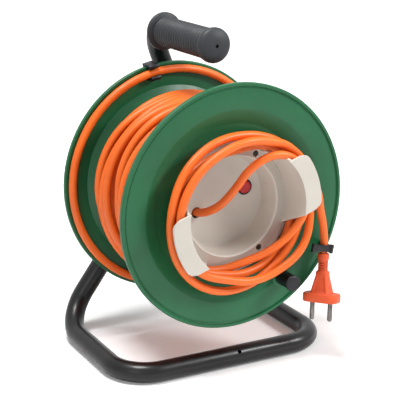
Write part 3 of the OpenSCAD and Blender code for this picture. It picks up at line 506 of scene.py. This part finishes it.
# %% [markdown]
# ## The cords
# A round cord is a line with a thickness, so a curve with a round bevel suits it better than a mesh tube. The
# plug lead stands for the three solids of its route, and the long cord for the winding and its core.

# %% The cords
def link_piece(name, data, body, finish, slot, *nodes):
    """Puts a finished mesh or curve in the scene, on its body, in place of the nodes that it stands for."""
    piece = bpy.data.objects.new(name, data)
    bpy.context.scene.collection.objects.link(piece)
    data.materials.append(finish.material)
    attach(piece, body)
    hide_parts(*nodes)
    return piece


def cord_curve(name, points, *nodes):
    """A round cord along points of the drum's frame."""
    curve = bpy.data.curves.new(name, "CURVE")
    curve.dimensions = "3D"
    curve.bevel_depth = CORD_D * MM / 2
    curve.bevel_resolution = 4
    curve.use_fill_caps = True
    spline = curve.splines.new("POLY")
    spline.points.add(len(points) - 1)
    for knot, p in zip(spline.points, points):
        knot.co = (*(DRUM @ p), 1)
    spline.use_smooth = True
    return link_piece(name, curve, "drum", sheath, "cord_sheath", *nodes)


lead = cord_curve("plug_lead", lead_points, "lead_start", "lead_coil", "lead_tail")
long_cord = cord_curve("long_cord", long_points, "winding_core", "cord_winding")
print("points of the cords:", len(lead_points), len(long_points))

# %% [markdown]
# ## Turning
# Grip, flange, bowl and button are round, and their moulds were turned. So is their shape here: an outline is
# drawn once and spun about its axis. A finished piece is moved to its place in its mesh, so that its object
# stays at the origin, and it is shaded smooth but for its sharp edges.

# %% Turn a shape and finish it
# Points this near each other, in millimetres, are one point on the axis
AXIS_WELD = 0.0005


def turned(bm, outline, steps):
    """Spins an outline of (radius, height) points about the vertical into a closed skin."""
    verts = [bm.verts.new((r, 0, z)) for r, z in outline]
    edges = [bm.edges.new(pair) for pair in zip(verts, verts[1:] + verts[:1])]
    bmesh.ops.spin(
        bm, geom=verts + edges, cent=(0, 0, 0), axis=(0, 0, 1), angle=2 * math.pi, steps=steps,
        use_merge=True, use_duplicate=False,
    )
    bmesh.ops.remove_doubles(bm, verts=bm.verts, dist=AXIS_WELD)
    bmesh.ops.recalc_face_normals(bm, faces=bm.faces)


def soft_shade(mesh, degrees=35):
    """Smooth shading, but not over edges sharper than the angle."""
    mesh.shade_smooth()
    mesh.set_sharp_from_angle(angle=math.radians(degrees))


def finished(bm, name, place, body, finish, slot, *nodes, degrees=35):
    """Moves a shape made in millimetres to its place and hands it over as a piece."""
    bmesh.ops.transform(bm, matrix=place, verts=bm.verts)
    bmesh.ops.recalc_face_normals(bm, faces=bm.faces)
    mesh = bpy.data.meshes.new(name)
    bm.to_mesh(mesh)
    bm.free()
    soft_shade(mesh, degrees)
    print(name, len(mesh.polygons), "faces")
    return link_piece(name, mesh, body, finish, slot, *nodes)


# %% [markdown]
# ## Grip
# The grip is a rubber sleeve with a domed cap, round ribs and a collar. Ribs could be rings set on a sleeve,
# but they are moulded with it, so all of it is one outline turned about the handle's axis, and a loop draws
# the ribs. Its bore stops where the tube ends.

# %% Ribbed grip
HANDLE_X, HANDLE_H, HANDLE_BACK = -11.5, 316, 63.5
GRIP_LEN, GRIP_R, GROOVE_DEPTH, RIBS = 109.0, 14.75, 1.5, 18
# A rib: the share of its pitch, and the share of its height there
RIB = ((0, 0), (0.2, 0.5), (0.38, 1), (0.68, 1), (0.86, 0.5))
CAP_R, CAP_END, DOME_H, PLAIN = 16.75, 13, 6, 1
VENT_R, VENT_FLOOR = 1.75, 3.2
COLLAR_R, COLLAR_T = 19.0, 4.5
TUBE_FIT_R, TUBE_END = 10.1, 12
GRIP_AT = REEL @ Matrix.Translation((HANDLE_X, HANDLE_BACK - GRIP_LEN, HANDLE_H))
GRIP_AT = GRIP_AT @ Matrix.Rotation(math.radians(-90), 4, "X")


def cap_outline():
    """The domed front cap, from the floor of its small hole out to its skirt."""
    dome = [math.radians(a) for a in range(10, 91, 10)]
    outline = [(0, VENT_FLOOR), (VENT_R, VENT_FLOOR), (VENT_R, 0.15)]
    outline += [(VENT_R + (CAP_R - VENT_R) * math.sin(a), DOME_H * (1 - math.cos(a))) for a in dome]
    return outline + [(CAP_R, 8), (CAP_R - 0.35, 10), (15.2, 11.8)]


def ribbed_grip():
    bm = bmesh.new()
    groove = GRIP_R - GROOVE_DEPTH
    outline = cap_outline() + [(groove, CAP_END)]
    pitch = (GRIP_LEN - CAP_END - COLLAR_T - 2 * PLAIN) / RIBS
    for i in range(RIBS):
        z = CAP_END + PLAIN + i * pitch
        outline += [(groove + GROOVE_DEPTH * up, z + along * pitch) for along, up in RIB]
    back = GRIP_LEN - COLLAR_T
    outline += [
        (groove, back - PLAIN), (COLLAR_R - 1.4, back), (COLLAR_R - 0.4, back + 0.5), (COLLAR_R, back + 1.3),
        (COLLAR_R, GRIP_LEN - 1.4), (COLLAR_R - 0.5, GRIP_LEN - 0.4), (COLLAR_R - 1.4, GRIP_LEN),
        (TUBE_FIT_R, GRIP_LEN), (TUBE_FIT_R, TUBE_END), (0, TUBE_END),
    ]
    turned(bm, outline, 72)
    return finished(bm, "grip_sleeve", GRIP_AT, "stand", rubber, "grip_rubber", "handle_grip", degrees=42)


ribbed_grip()

# %% [markdown]
# ## Eased edges
# No moulded edge is quite sharp, and the line of light along it is what makes it look real. A bevel modifier
# would do for a whole piece; as an operator it can take just the edges that are sharper than an angle.

# %% Ease sharp edges
def sharp_edges(bm, degrees):
    """The edges that two faces meet in at more than the angle."""
    limit = math.radians(degrees)
    return [e for e in bm.edges if len(e.link_faces) == 2 and e.calc_face_angle() > limit]


def ease_edges(bm, width, degrees, segments=3):
    """Rounds every edge that is sharper than the angle."""
    bmesh.ops.bevel(
        bm, geom=sharp_edges(bm, degrees), offset=width, offset_type="OFFSET", segments=segments,
        profile=0.5, affect="EDGES", clamp_overlap=True, material=-1,
    )


# %% [markdown]
# ## Front flange
# The front flange is a thin moulded disc: a flat brim with a raised bead at its rim, a cone down to a sunk
# middle, and a boss for the winding knob. A disc with loop cuts would need each ring moved by hand; here the
# whole section is turned in one go, and the boss is a low cone with an eased rim.

# %% Front flange
FLANGE_R, FLANGE_OPEN_R, SKIN = 120, 52.5, 2.4
RIM_TOP, BRIM, SUNK = 67.8, 66.4, 59.0
KNOB_R, KNOB_TURN = 95, -55
BOSS_R, BOSS_TOP_R, BOSS_H, BOSS_MIDDLE = 11, 10.4, 5.6, 64.6


def flange_outline():
    """Front face from the opening out to the beaded rim, then the back face in again."""
    back, sunk_back = BRIM - SKIN, SUNK - SKIN
    return [
        (FLANGE_OPEN_R, sunk_back), (FLANGE_OPEN_R, SUNK), (79.4, SUNK), (81.2, SUNK + 0.35),
        (93.8, BRIM - 0.4), (95.6, BRIM), (114.6, BRIM), (115.1, BRIM - 0.5), (115.9, BRIM - 0.5),
        (116.4, BRIM), (117, RIM_TOP - 0.2), (117.6, RIM_TOP), (119.2, RIM_TOP), (FLANGE_R, RIM_TOP - 0.8),
        (FLANGE_R, back - 0.2), (119.4, back - 0.8), (117, back - 0.8), (116.4, back), (95.55, back),
        (80.55, sunk_back),
    ]


def front_flange():
    bm = bmesh.new()
    turned(bm, flange_outline(), 128)
    boss = bmesh.ops.create_cone(
        bm, cap_ends=True, segments=40, radius1=BOSS_R, radius2=BOSS_TOP_R, depth=BOSS_H
    )["verts"]
    rim = [e for e in sharp_edges(bm, 60) if all(v in boss for v in e.verts) and e.verts[0].co.z > 0]
    bmesh.ops.translate(bm, vec=polar(KNOB_R, KNOB_TURN, BOSS_MIDDLE), verts=boss)
    bmesh.ops.bevel(bm, geom=rim, offset=0.7, offset_type="OFFSET", segments=3, profile=0.5,
                    affect="EDGES", material=-1)
    return finished(bm, "front_flange_disc", DRUM, "drum", green, "green_plastic", "front_flange", degrees=30)


front_flange()

# %% [markdown]
# ## Cutting and joining
# A hole could be left out of an outline only where it is on the axis. The others are drilled, with a Boolean
# modifier that is applied at once, and a part made on its own is taken into the piece that it belongs to.

# %% Cut one shape with another
def scene_object(bm, name):
    """A plain object of a shape, for a modifier to work on."""
    mesh = bpy.data.meshes.new(name)
    bm.to_mesh(mesh)
    bm.free()
    made = bpy.data.objects.new(name, mesh)
    bpy.context.scene.collection.objects.link(made)
    return made


def carved(bm, tool_bm):
    """The first shape with the second one cut out of it."""
    body, tool = scene_object(bm, "blank"), scene_object(tool_bm, "cutter")
    cut = body.modifiers.new("cut", "BOOLEAN")
    cut.object, cut.operation, cut.solver = tool, "DIFFERENCE", "EXACT"
    result = bmesh.new()
    result.from_object(body, bpy.context.evaluated_depsgraph_get())
    for spent in (body, tool):
        mesh = spent.data
        bpy.data.objects.remove(spent)
        bpy.data.meshes.remove(mesh)
    return result


def drilled(bm, holes):
    """The shape with round holes: each is (x, y, low, high, radius)."""
    drill = bmesh.new()
    for x, y, low, high, radius in holes:
        made = bmesh.ops.create_cone(
            drill, cap_ends=True, segments=40, radius1=radius, radius2=radius, depth=high - low
        )
        bmesh.ops.translate(drill, vec=(x, y, (low + high) / 2), verts=made["verts"])
    return carved(bm, drill)


def absorb(bm, part):
    """Adds a second shape to the first, and frees it."""
    mesh = bpy.data.meshes.new("part")
    part.to_mesh(mesh)
    part.free()
    bm.from_mesh(mesh)
    bpy.data.meshes.remove(mesh)


# %% [markdown]
# ## Cleats
# Each of the two cleats is a leaning curved wall with a flat lip that keeps the lead from slipping off. A
# bent cube would have uneven walls, so both start as a grid that is laid on its arc and given a thickness.

# %% Cleats
RING_TOP = 61.0
LIP_TOP, LIP_T, LIP_OUT, LIP_CORNER = 93.0, 2.4, 80.1, 6.5
CLEAT_R, CLEAT_W, WALL_T = 62.4, 58.4, 2.2
CLEAT_LEAN = math.tan(math.radians(19))
WALL_LEAN = 4.4 / 32
FOOT_SUNK = 0.6
WALL_EDGE, LIP_EDGE = 0.5, 0.7


def cleat_wall():
    """A grid bent round the bowl: wider at its foot, and leaning outwards as it rises."""
    wall = bmesh.new()
    low, high = RING_TOP - FOOT_SUNK, LIP_TOP - LIP_T / 2
    grid = bmesh.ops.create_grid(wall, x_segments=24, y_segments=6, size=0.5)["verts"]
    for v in grid:
        h = low + (high - low) * (v.co.y + 0.5)
        reach = CLEAT_W / 2 + (LIP_TOP - h) * CLEAT_LEAN
        radius = CLEAT_R + WALL_T / 2 - WALL_LEAN * (LIP_TOP - h)
        across = 2 * v.co.x * reach
        v.co = (math.sqrt(radius**2 - across**2), across, h)
    bmesh.ops.recalc_face_normals(wall, faces=wall.faces)
    bmesh.ops.solidify(wall, geom=wall.faces[:], thickness=WALL_T)
    return wall


def cleat_lip():
    """A flat lip between two arcs, with round outer corners."""
    lip = bmesh.new()
    half = CLEAT_W / 2
    flat = bmesh.ops.create_grid(lip, x_segments=14, y_segments=24, size=0.5)["verts"]
    for v in flat:
        across = 2 * v.co.y * half
        past = max(0.0, abs(across) - (half - LIP_CORNER))
        drop = LIP_CORNER - math.sqrt(max(0.0, LIP_CORNER**2 - past**2))
        inner = math.sqrt(CLEAT_R**2 - across**2)
        outer = math.sqrt(LIP_OUT**2 - across**2) - drop
        v.co = (inner + (outer - inner) * (v.co.x + 0.5), across, LIP_TOP - LIP_T)
    up = bmesh.ops.extrude_face_region(lip, geom=lip.faces[:])["geom"]
    bmesh.ops.translate(lip, vec=(0, 0, LIP_T), verts=[g for g in up if isinstance(g, bmesh.types.BMVert)])
    bmesh.ops.recalc_face_normals(lip, faces=lip.faces)
    return lip


def cleat(bm, turn):
    """One cleat, turned to its side of the bowl."""
    spin = Matrix.Rotation(math.radians(turn), 3, "Z")
    for part, width in ((cleat_wall(), WALL_EDGE), (cleat_lip(), LIP_EDGE)):
        ease_edges(part, width, 50)
        bmesh.ops.rotate(part, cent=(0, 0, 0), matrix=spin, verts=part.verts)
        absorb(bm, part)


print("room under a lip:", round(LIP_TOP - LIP_T - RING_TOP, 1), "mm")

# %% [markdown]
# ## Lead bowl
# The bowl sits in the front flange, with a fixing ring round it. It is turned like the flange. Then it is
# drilled for the lead, the button's recess and the ring's screws, and the cleats are taken in.

# %% Lead bowl
BOWL_FLOOR, BOWL_BACK, RING_BACK = 37.0, 34.8, 59.02
CLEAT_TURNS = (20, 200)
LEAD_HOLE, LEAD_HOLE_R = (-26.0, -9.5), 5.5
BUTTON_AT, RECESS_R = polar(29, 20, 0), 8.1
SCREW_RING_R, SCREW_TURNS, SCREW_HOLE_R = 54.6, (64, -56, 184), 3.1
THROUGH_FLOOR, THROUGH_RING = (30, 45), (50, 70)


def bowl_skin(bm):
    """The floor, the sloping side, the rounded lip and the fixing ring, then the back of them."""
    turned(bm, [
        (0, BOWL_BACK), (0, BOWL_FLOOR), (44.0, BOWL_FLOOR), (45.2, 37.5), (45.9, 38.6), (48.3, 59.2),
        (48.9, 60.4), (49.5, 61.3), (50.4, 61.6), (51.2, 61.3), (51.7, RING_TOP), (64.9, RING_TOP),
        (65.7, 60.7), (66, 60), (66, RING_BACK), (51.9, RING_BACK), (47.9, 36.3), (46.2, BOWL_BACK),
    ], 128)


def lead_bowl():
    bm = bmesh.new()
    bowl_skin(bm)
    holes = [(*LEAD_HOLE, *THROUGH_FLOOR, LEAD_HOLE_R), (*BUTTON_AT.xy, *THROUGH_FLOOR, RECESS_R)]
    holes += [(*polar(SCREW_RING_R, a, 0).xy, *THROUGH_RING, SCREW_HOLE_R) for a in SCREW_TURNS]
    bm = drilled(bm, holes)
    for turn in CLEAT_TURNS:
        cleat(bm, turn)
    return finished(bm, "bowl_and_cleats", DRUM, "drum", beige, "bowl_plastic", "lead_bowl", degrees=38)


lead_bowl()

# %% [markdown]
# ## Rim clip
# The clip on the rear rim is two springy jaws, so the cord can be snapped in and out from the front. Each
# jaw is a bent strip of one width, so its side view is drawn once and extruded, and needs no modelling in
# the round.

# %% Rim clip
RIM_CLIP_W, RIM_CLIP_TURN = 10.5, 102.5
UPPER_JAW = [
    (122.6, -70.2), (122.6, -55.2), (121.6, -53.6), (119.6, -53.2), (118.0, -54.2), (117.6, -55.6),
    (118.8, -56.2), (119.6, -57.4), (119.4, -60), (118.2, -62.4), (118.4, -63.2), (120.2, -63.6),
    (120.2, -68.0), (116.2, -68.0), (116.2, -70.2),
]
LOWER_JAW = [
    (105.6, -65.0), (105.6, -55.6), (106.6, -54.0), (108.6, -53.4), (110.2, -54.2), (110.4, -55.4),
    (109.2, -56.0), (108.4, -57.4), (108.2, -65.0),
]
STAND_UP = Matrix.Rotation(math.radians(90), 4, "X")


def extruded(bm, outline, depth):
    """A flat outline of (x, y) points given a thickness along z, half to each side."""
    face = bm.faces.new([bm.verts.new((x, y, -depth / 2)) for x, y in outline])
    top = bmesh.ops.extrude_face_region(bm, geom=[face])["geom"]
    bmesh.ops.translate(bm, vec=(0, 0, depth), verts=[g for g in top if isinstance(g, bmesh.types.BMVert)])
    bmesh.ops.recalc_face_normals(bm, faces=bm.faces)


def rim_clip():
    bm = bmesh.new()
    for outline in (UPPER_JAW, LOWER_JAW):
        extruded(bm, outline, RIM_CLIP_W)
    ease_edges(bm, 0.3, 30, 2)
    place = DRUM @ Matrix.Rotation(math.radians(RIM_CLIP_TURN), 4, "Z") @ STAND_UP
    return finished(bm, "rim_clip_jaws", place, "drum", black, "black_plastic", "rim_clip")


rim_clip()

# %% [markdown]
# ## Lofting
# The plug changes its section from end to end, which neither turning nor extruding can do. It is lofted: a
# rounded rectangle is drawn at each height, and skins are bridged from one to the next.

# %% Loft through rounded sections
def rounded_loop(bm, width, thick, corner, height, per_corner=5):
    """A closed loop of edges: a rectangle with round corners at one height."""
    verts = []
    for sx, sy, first in ((1, 1, 0), (-1, 1, 90), (-1, -1, 180), (1, -1, 270)):
        middle = Vector((sx * (width / 2 - corner), sy * (thick / 2 - corner), 0))
        for k in range(per_corner + 1):
            verts.append(bm.verts.new(middle + polar(corner, first + 90 * k / per_corner, height)))
    return [bm.edges.new(pair) for pair in zip(verts, verts[1:] + verts[:1])]


def lofted(bm, sections):
    """A closed skin through (width, thickness, corner, height) sections."""
    loops = [rounded_loop(bm, *section) for section in sections]
    for low, high in zip(loops, loops[1:]):
        bmesh.ops.bridge_loops(bm, edges=low + high)
    for loop in (loops[0], loops[-1]):
        bmesh.ops.contextual_create(bm, geom=loop)
    bmesh.ops.recalc_face_normals(bm, faces=bm.faces)


# %% [markdown]
# ## Plug
# The plug is moulded round the lead in one soft piece: a slotted strain relief, a body that flares, and a
# broad foot. The relief is turned and its slots are cut; the body and the foot are lofted, and the body's
# broad sides are inset as a hold for finger and thumb.

# %% Plug
PLUG_TURNS = ((-6.6, "Z"), (-99.3, "X"), (-59, "Z"))
PLUG = DRUM @ Matrix.Translation(PLUG_TOP)
for degrees, axis in PLUG_TURNS:
    PLUG = PLUG @ Matrix.Rotation(math.radians(degrees), 4, axis)
RELIEF = [(0, 0), (4.8, 0), (5.4, -0.5), (5.6, -1.4), (5.6, -6), (5.0, -7), (4.95, -18.5), (0, -18.5)]
# Width, thickness, corner and height of each section
PLUG_BODY = [
    (10.2, 10.0, 4.9, -17.4), (11.2, 9.7, 3.0, -18.2), (12, 10, 2, -19.0), (12.2, 10.2, 2, -22.4),
    (20, 15.5, 2.5, -39.4), (21.4, 17, 3.2, -40.4),
]
PLUG_FOOT = [
    (34.7, 20.7, 7.2, -40.0), (35.9, 21.9, 7.8, -40.4), (36.5, 22.5, 8, -41.4), (36.5, 22.5, 8, -47.3),
    (35.9, 21.9, 7.8, -48.1), (34.9, 20.9, 7.4, -48.5),
]
SLOT_SIZE, SLOT_R = (3.2, 6.6, 1.3), 5.0
SLOT_FIRST, SLOT_PITCH, SLOT_ROWS = -8.5, 2.5, 4
# Square millimetres above which a face of the body is one of its broad sides
BROAD_SIDE = 100


def strain_relief():
    """A turned sleeve with slots on four sides, those of neighbouring sides half a pitch apart."""
    relief, slots = bmesh.new(), bmesh.new()
    turned(relief, RELIEF, 48)
    for k in range(SLOT_ROWS):
        for quarter in range(4):
            slot = bmesh.ops.create_cube(slots, size=1)["verts"]
            bmesh.ops.scale(slots, vec=SLOT_SIZE, verts=slot)
            level = SLOT_FIRST - SLOT_PITCH * (k + (0.5 if quarter % 2 else 0))
            bmesh.ops.translate(slots, vec=(SLOT_R, 0, level), verts=slot)
            bmesh.ops.rotate(slots, matrix=Matrix.Rotation(math.radians(90 * quarter), 3, "Z"), verts=slot)
    return carved(relief, slots)


def plug_body():
    bm = bmesh.new()
    lofted(bm, PLUG_BODY)
    sides = [f for f in bm.faces if abs(f.normal.y) > 0.9 and f.calc_area() > BROAD_SIDE]
    bmesh.ops.inset_individual(bm, faces=sides, thickness=2.0, depth=-1.5, use_even_offset=True)
    lofted(bm, PLUG_FOOT)
    absorb(bm, strain_relief())
    return finished(bm, "plug_moulding", PLUG, "drum", plug_plastic, "plug_plastic", "plug_body", degrees=32)


plug = plug_body()

# %% [markdown]
# ## Lead clip
# The lead snaps into a small clip on the brim, just above the plug: a foot on the flange, a bridge with a
# sunk middle over the lead, and a hook behind its free end. It is one side view, extruded as the rim clip is,
# and two wider blocks are its thick ends.

# %% Lead clip
CLIP_VIEW = [
    (-10.5, 85.9), (-5.4, 85.9), (-4.8, 85.3), (8.1, 85.3), (8.7, 85.9), (11.5, 85.9), (12.2, 84),
    (12.2, 66.3), (8.6, 66.3), (8.6, 75.2), (10.2, 78.2), (10.2, 80.8), (8.6, 83.2), (5.5, 84.3),
    (2.6, 83.3), (0.8, 81), (0.4, 78.8), (-0.8, 78.8), (-1.4, 81), (-2.6, 82.8), (-10.5, 83.2),
]
CLIP_ENDS = ((-12.2, -9.2), (9.6, 12.6))
END_BACK, END_FRONT = 82.9, 86.45
BRIDGE_W, END_W = 6.6, 8.7
CLIP_AT, CLIP_TURN = polar(101.4, -28.4, 0), -11.4


def lead_clip():
    bm = bmesh.new()
    extruded(bm, CLIP_VIEW, BRIDGE_W)
    for left, right in CLIP_ENDS:
        extruded(bm, [(left, END_BACK), (right, END_BACK), (right, END_FRONT), (left, END_FRONT)], END_W)
    ease_edges(bm, 0.35, 30, 2)
    place = DRUM @ Matrix.Translation(CLIP_AT) @ Matrix.Rotation(math.radians(CLIP_TURN), 4, "Z") @ STAND_UP
    return finished(bm, "lead_clip_bridge", place, "drum", black, "black_plastic", "lead_clip")


lead_clip()

# %% [markdown]
# ## Reset button
# The red button is a low round cap in a dark recess of the bowl's floor, a little hollow on top. Its stem
# goes down into the cutout's housing, to a small collar that keeps it in. It is turned, as it was made.

# %% Reset button
STEM_R, BUTTON_R, KEEPER_R = 4.4, 6.3, 5.6
BUTTON = [
    (0, 30.4), (KEEPER_R, 30.4), (KEEPER_R, 31.3), (STEM_R, 31.3), (STEM_R, 36.6), (6.0, 36.6),
    (BUTTON_R, 36.9), (BUTTON_R, 37.7), (6.0, 38.2), (5.2, 38.5), (4.4, 38.45), (0, 38.2),
]


def reset_button():
    bm = bmesh.new()
    turned(bm, BUTTON, 64)
    place = DRUM @ Matrix.Translation(BUTTON_AT)
    return finished(bm, "red_button_cap", place, "button", red, "red_plastic", "reset_button")


reset_button()

# %% [markdown]
# ## Small pieces from the solids
# Tube, axle, rear flange and the small pieces already have the right form. Their solids arrive as loose
# triangles, though, so each is a merged copy, and most get a fine bevel that catches the light.

# %% The solids that keep their shape
# Points of a solid this near each other, in millimetres, are joined
WELD = 0.02
# A face whose normal lies this close to the drum's axis is part of a flat disc
FLAT = 0.9999


def merged_copy(node, body, finish, slot, bevel):
    """A node's own shape, with its triangles joined and its edges eased by a bevel in millimetres.

    The drum's flat discs are shaded flat, because smooth shading would stain them from their small edges.
    """
    bm = bmesh.new()
    bm.from_mesh(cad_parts[node].data)
    bmesh.ops.remove_doubles(bm, verts=bm.verts, dist=WELD * MM)
    if bevel:
        bmesh.ops.dissolve_limit(bm, angle_limit=math.radians(1.5), verts=bm.verts, edges=bm.edges)
        ease_edges(bm, bevel * MM, 40, 2)
    mesh = bpy.data.meshes.new(node + "_form")
    bm.to_mesh(mesh)
    bm.free()
    soft_shade(mesh)
    for polygon in mesh.polygons:
        if body == "drum" and abs(polygon.normal.y) > FLAT:
            polygon.use_smooth = False
    return link_piece(node + "_form", mesh, body, finish, slot, node)


# Node: its body, finish, slot and the bevel on its edges
KEPT = {
    "frame_tube": ("stand", enamel, "black_enamel", 0),
    "axle": ("stand", zinc, "zinc_steel", 0.2),
    "axle_spacer": ("stand", zinc, "zinc_steel", 0.2),
    "axle_washers": ("stand", zinc, "zinc_steel", 0.2),
    "axle_nut": ("stand", zinc, "zinc_steel", 0.2),
    "retaining_ring": ("stand", dark_steel, "spring_steel", 0.15),
    "rear_flange": ("drum", green, "green_plastic", 0.3),
    "drum_barrel": ("drum", green, "green_plastic", 0),
    "hub_bushes": ("drum", natural, "bush_plastic", 0.2),
    "flange_screws": ("drum", zinc, "zinc_steel", 0.2),
    # Near black: painted shade of the screw holes, on zinc screws.
    "bowl_screws": ("drum", screw_in_hole_shade, "zinc_steel", 0.2),
    "lead_gland": ("drum", black, "black_plastic", 0.2),
    "cutout_body": ("drum", black, "black_plastic", 0.3),
    "extension_socket": ("drum", plug_plastic, "plug_plastic", 0.8),
    "socket_contacts": ("drum", brass, "contact_brass", 0),
    "plug_pins": ("drum", nickel, "plated_pin", 0.2),
    "knob_pin": ("drum", zinc, "zinc_steel", 0.2),
    "winding_knob": ("knob", black, "black_plastic", 0.4),
}
pieces = {name: merged_copy(name, *how) for name, how in KEPT.items()}
print("pieces from solids:", len(pieces))

# %% [markdown]
# ## What the cords are
# These two pieces are soft. The lead ends in the plug and the long cord at the socket; where each one
# starts is the first point of its route, taken through the drum's matrix.

DRUM @ lead_points[0]
DRUM @ long_points[0]
print("cords declared:", lead.name, long_cord.name)

# %% [markdown]
# ## Studio
# A pale floor and no horizon. A curved backdrop would need a big sheet behind the reel; here the floor glows
# to the camera far from the reel, where it meets the white surround, and keeps the soft shadow near it. The
# surround is white to the camera and in gloss, but lights the reel only weakly, so that the lamps shape it.

# %% Floor and surround
FLOOR_SIZE, NEAR, FAR = 6, 0.3, 0.8
# What the floor gives off by itself, near the reel and far from it
NEAR_GLOW, FAR_GLOW = (0.16, 0.16, 0.16), (0.85, 0.85, 0.85)
SURROUND = 0.26


def studio_floor():
    bm = bmesh.new()
    bmesh.ops.create_grid(bm, x_segments=1, y_segments=1, size=FLOOR_SIZE)
    floor = scene_object(bm, "studio_floor")
    paper = Finish("studio_paper", Roughness=0.9)
    paper.use(Base_Color=paper.between(paper.noise(3.0), (0.93, 0.93, 0.93), (0.95, 0.95, 0.95)))
    reach = paper.node("VectorMath", {"operation": "LENGTH"}, VECTOR_LENGTH, _0=paper.place())
    seen = paper.node("LightPath")
    glow = paper.between(paper.span(reach, NEAR, FAR) * seen, NEAR_GLOW, FAR_GLOW)
    paper.use(Emission_Color=glow, Emission_Strength=1.0)
    floor.data.materials.append(paper.material)
    return floor


floor = studio_floor()
world = bpy.data.worlds.new("studio_world")
bpy.context.scene.world = world
world.use_nodes = True
backdrop = world.node_tree.nodes["Background"]
backdrop.inputs["Color"].default_value = (1, 1, 1, 1)
ray = world.node_tree.nodes.new("ShaderNodeLightPath")
WHITE_TO = ("Is Camera Ray", "Is Glossy Ray")
camera_ray, glossy_ray = (Field(world.node_tree, ray.outputs[kind]) for kind in WHITE_TO)
surround = (camera_ray + glossy_ray) * (1 - SURROUND) + SURROUND
put(world.node_tree, backdrop.inputs["Strength"], surround)
print("floor:", floor.name, "surround:", SURROUND)

# %% [markdown]
# ## Lamps
# A small lamp in front on the right shapes the drum and the tube, a broad weak one on the left opens the
# shadows, and one overhead reaches the winding between the flanges. They are area lamps, because a point lamp
# casts a hard shadow, and round, because they show in the gloss.

# %% Lamps
def area_lamp(name, place, target, size, power):
    """A round lamp of a size in metres and a power in watts, aimed at a point."""
    data = bpy.data.lights.new(name, "AREA")
    data.shape = "DISK"
    data.size = size
    data.energy = power
    lamp = bpy.data.objects.new(name, data)
    bpy.context.scene.collection.objects.link(lamp)
    lamp.location = place
    lamp.rotation_euler = (Vector(target) - Vector(place)).to_track_quat("-Z", "Y").to_euler()
    print(name, power, "W")


area_lamp("key_lamp", (0.85, -0.8, 0.95), (0, 0, 0.17), 0.4, 14)
area_lamp("fill_lamp", (-1.3, -1.0, 0.8), (0, 0, 0.15), 0.9, 3)
area_lamp("top_lamp", (-0.35, -0.15, 1.5), (0, 0, 0.1), 0.5, 22)
bpy.context.scene.view_settings.view_transform = "Standard"
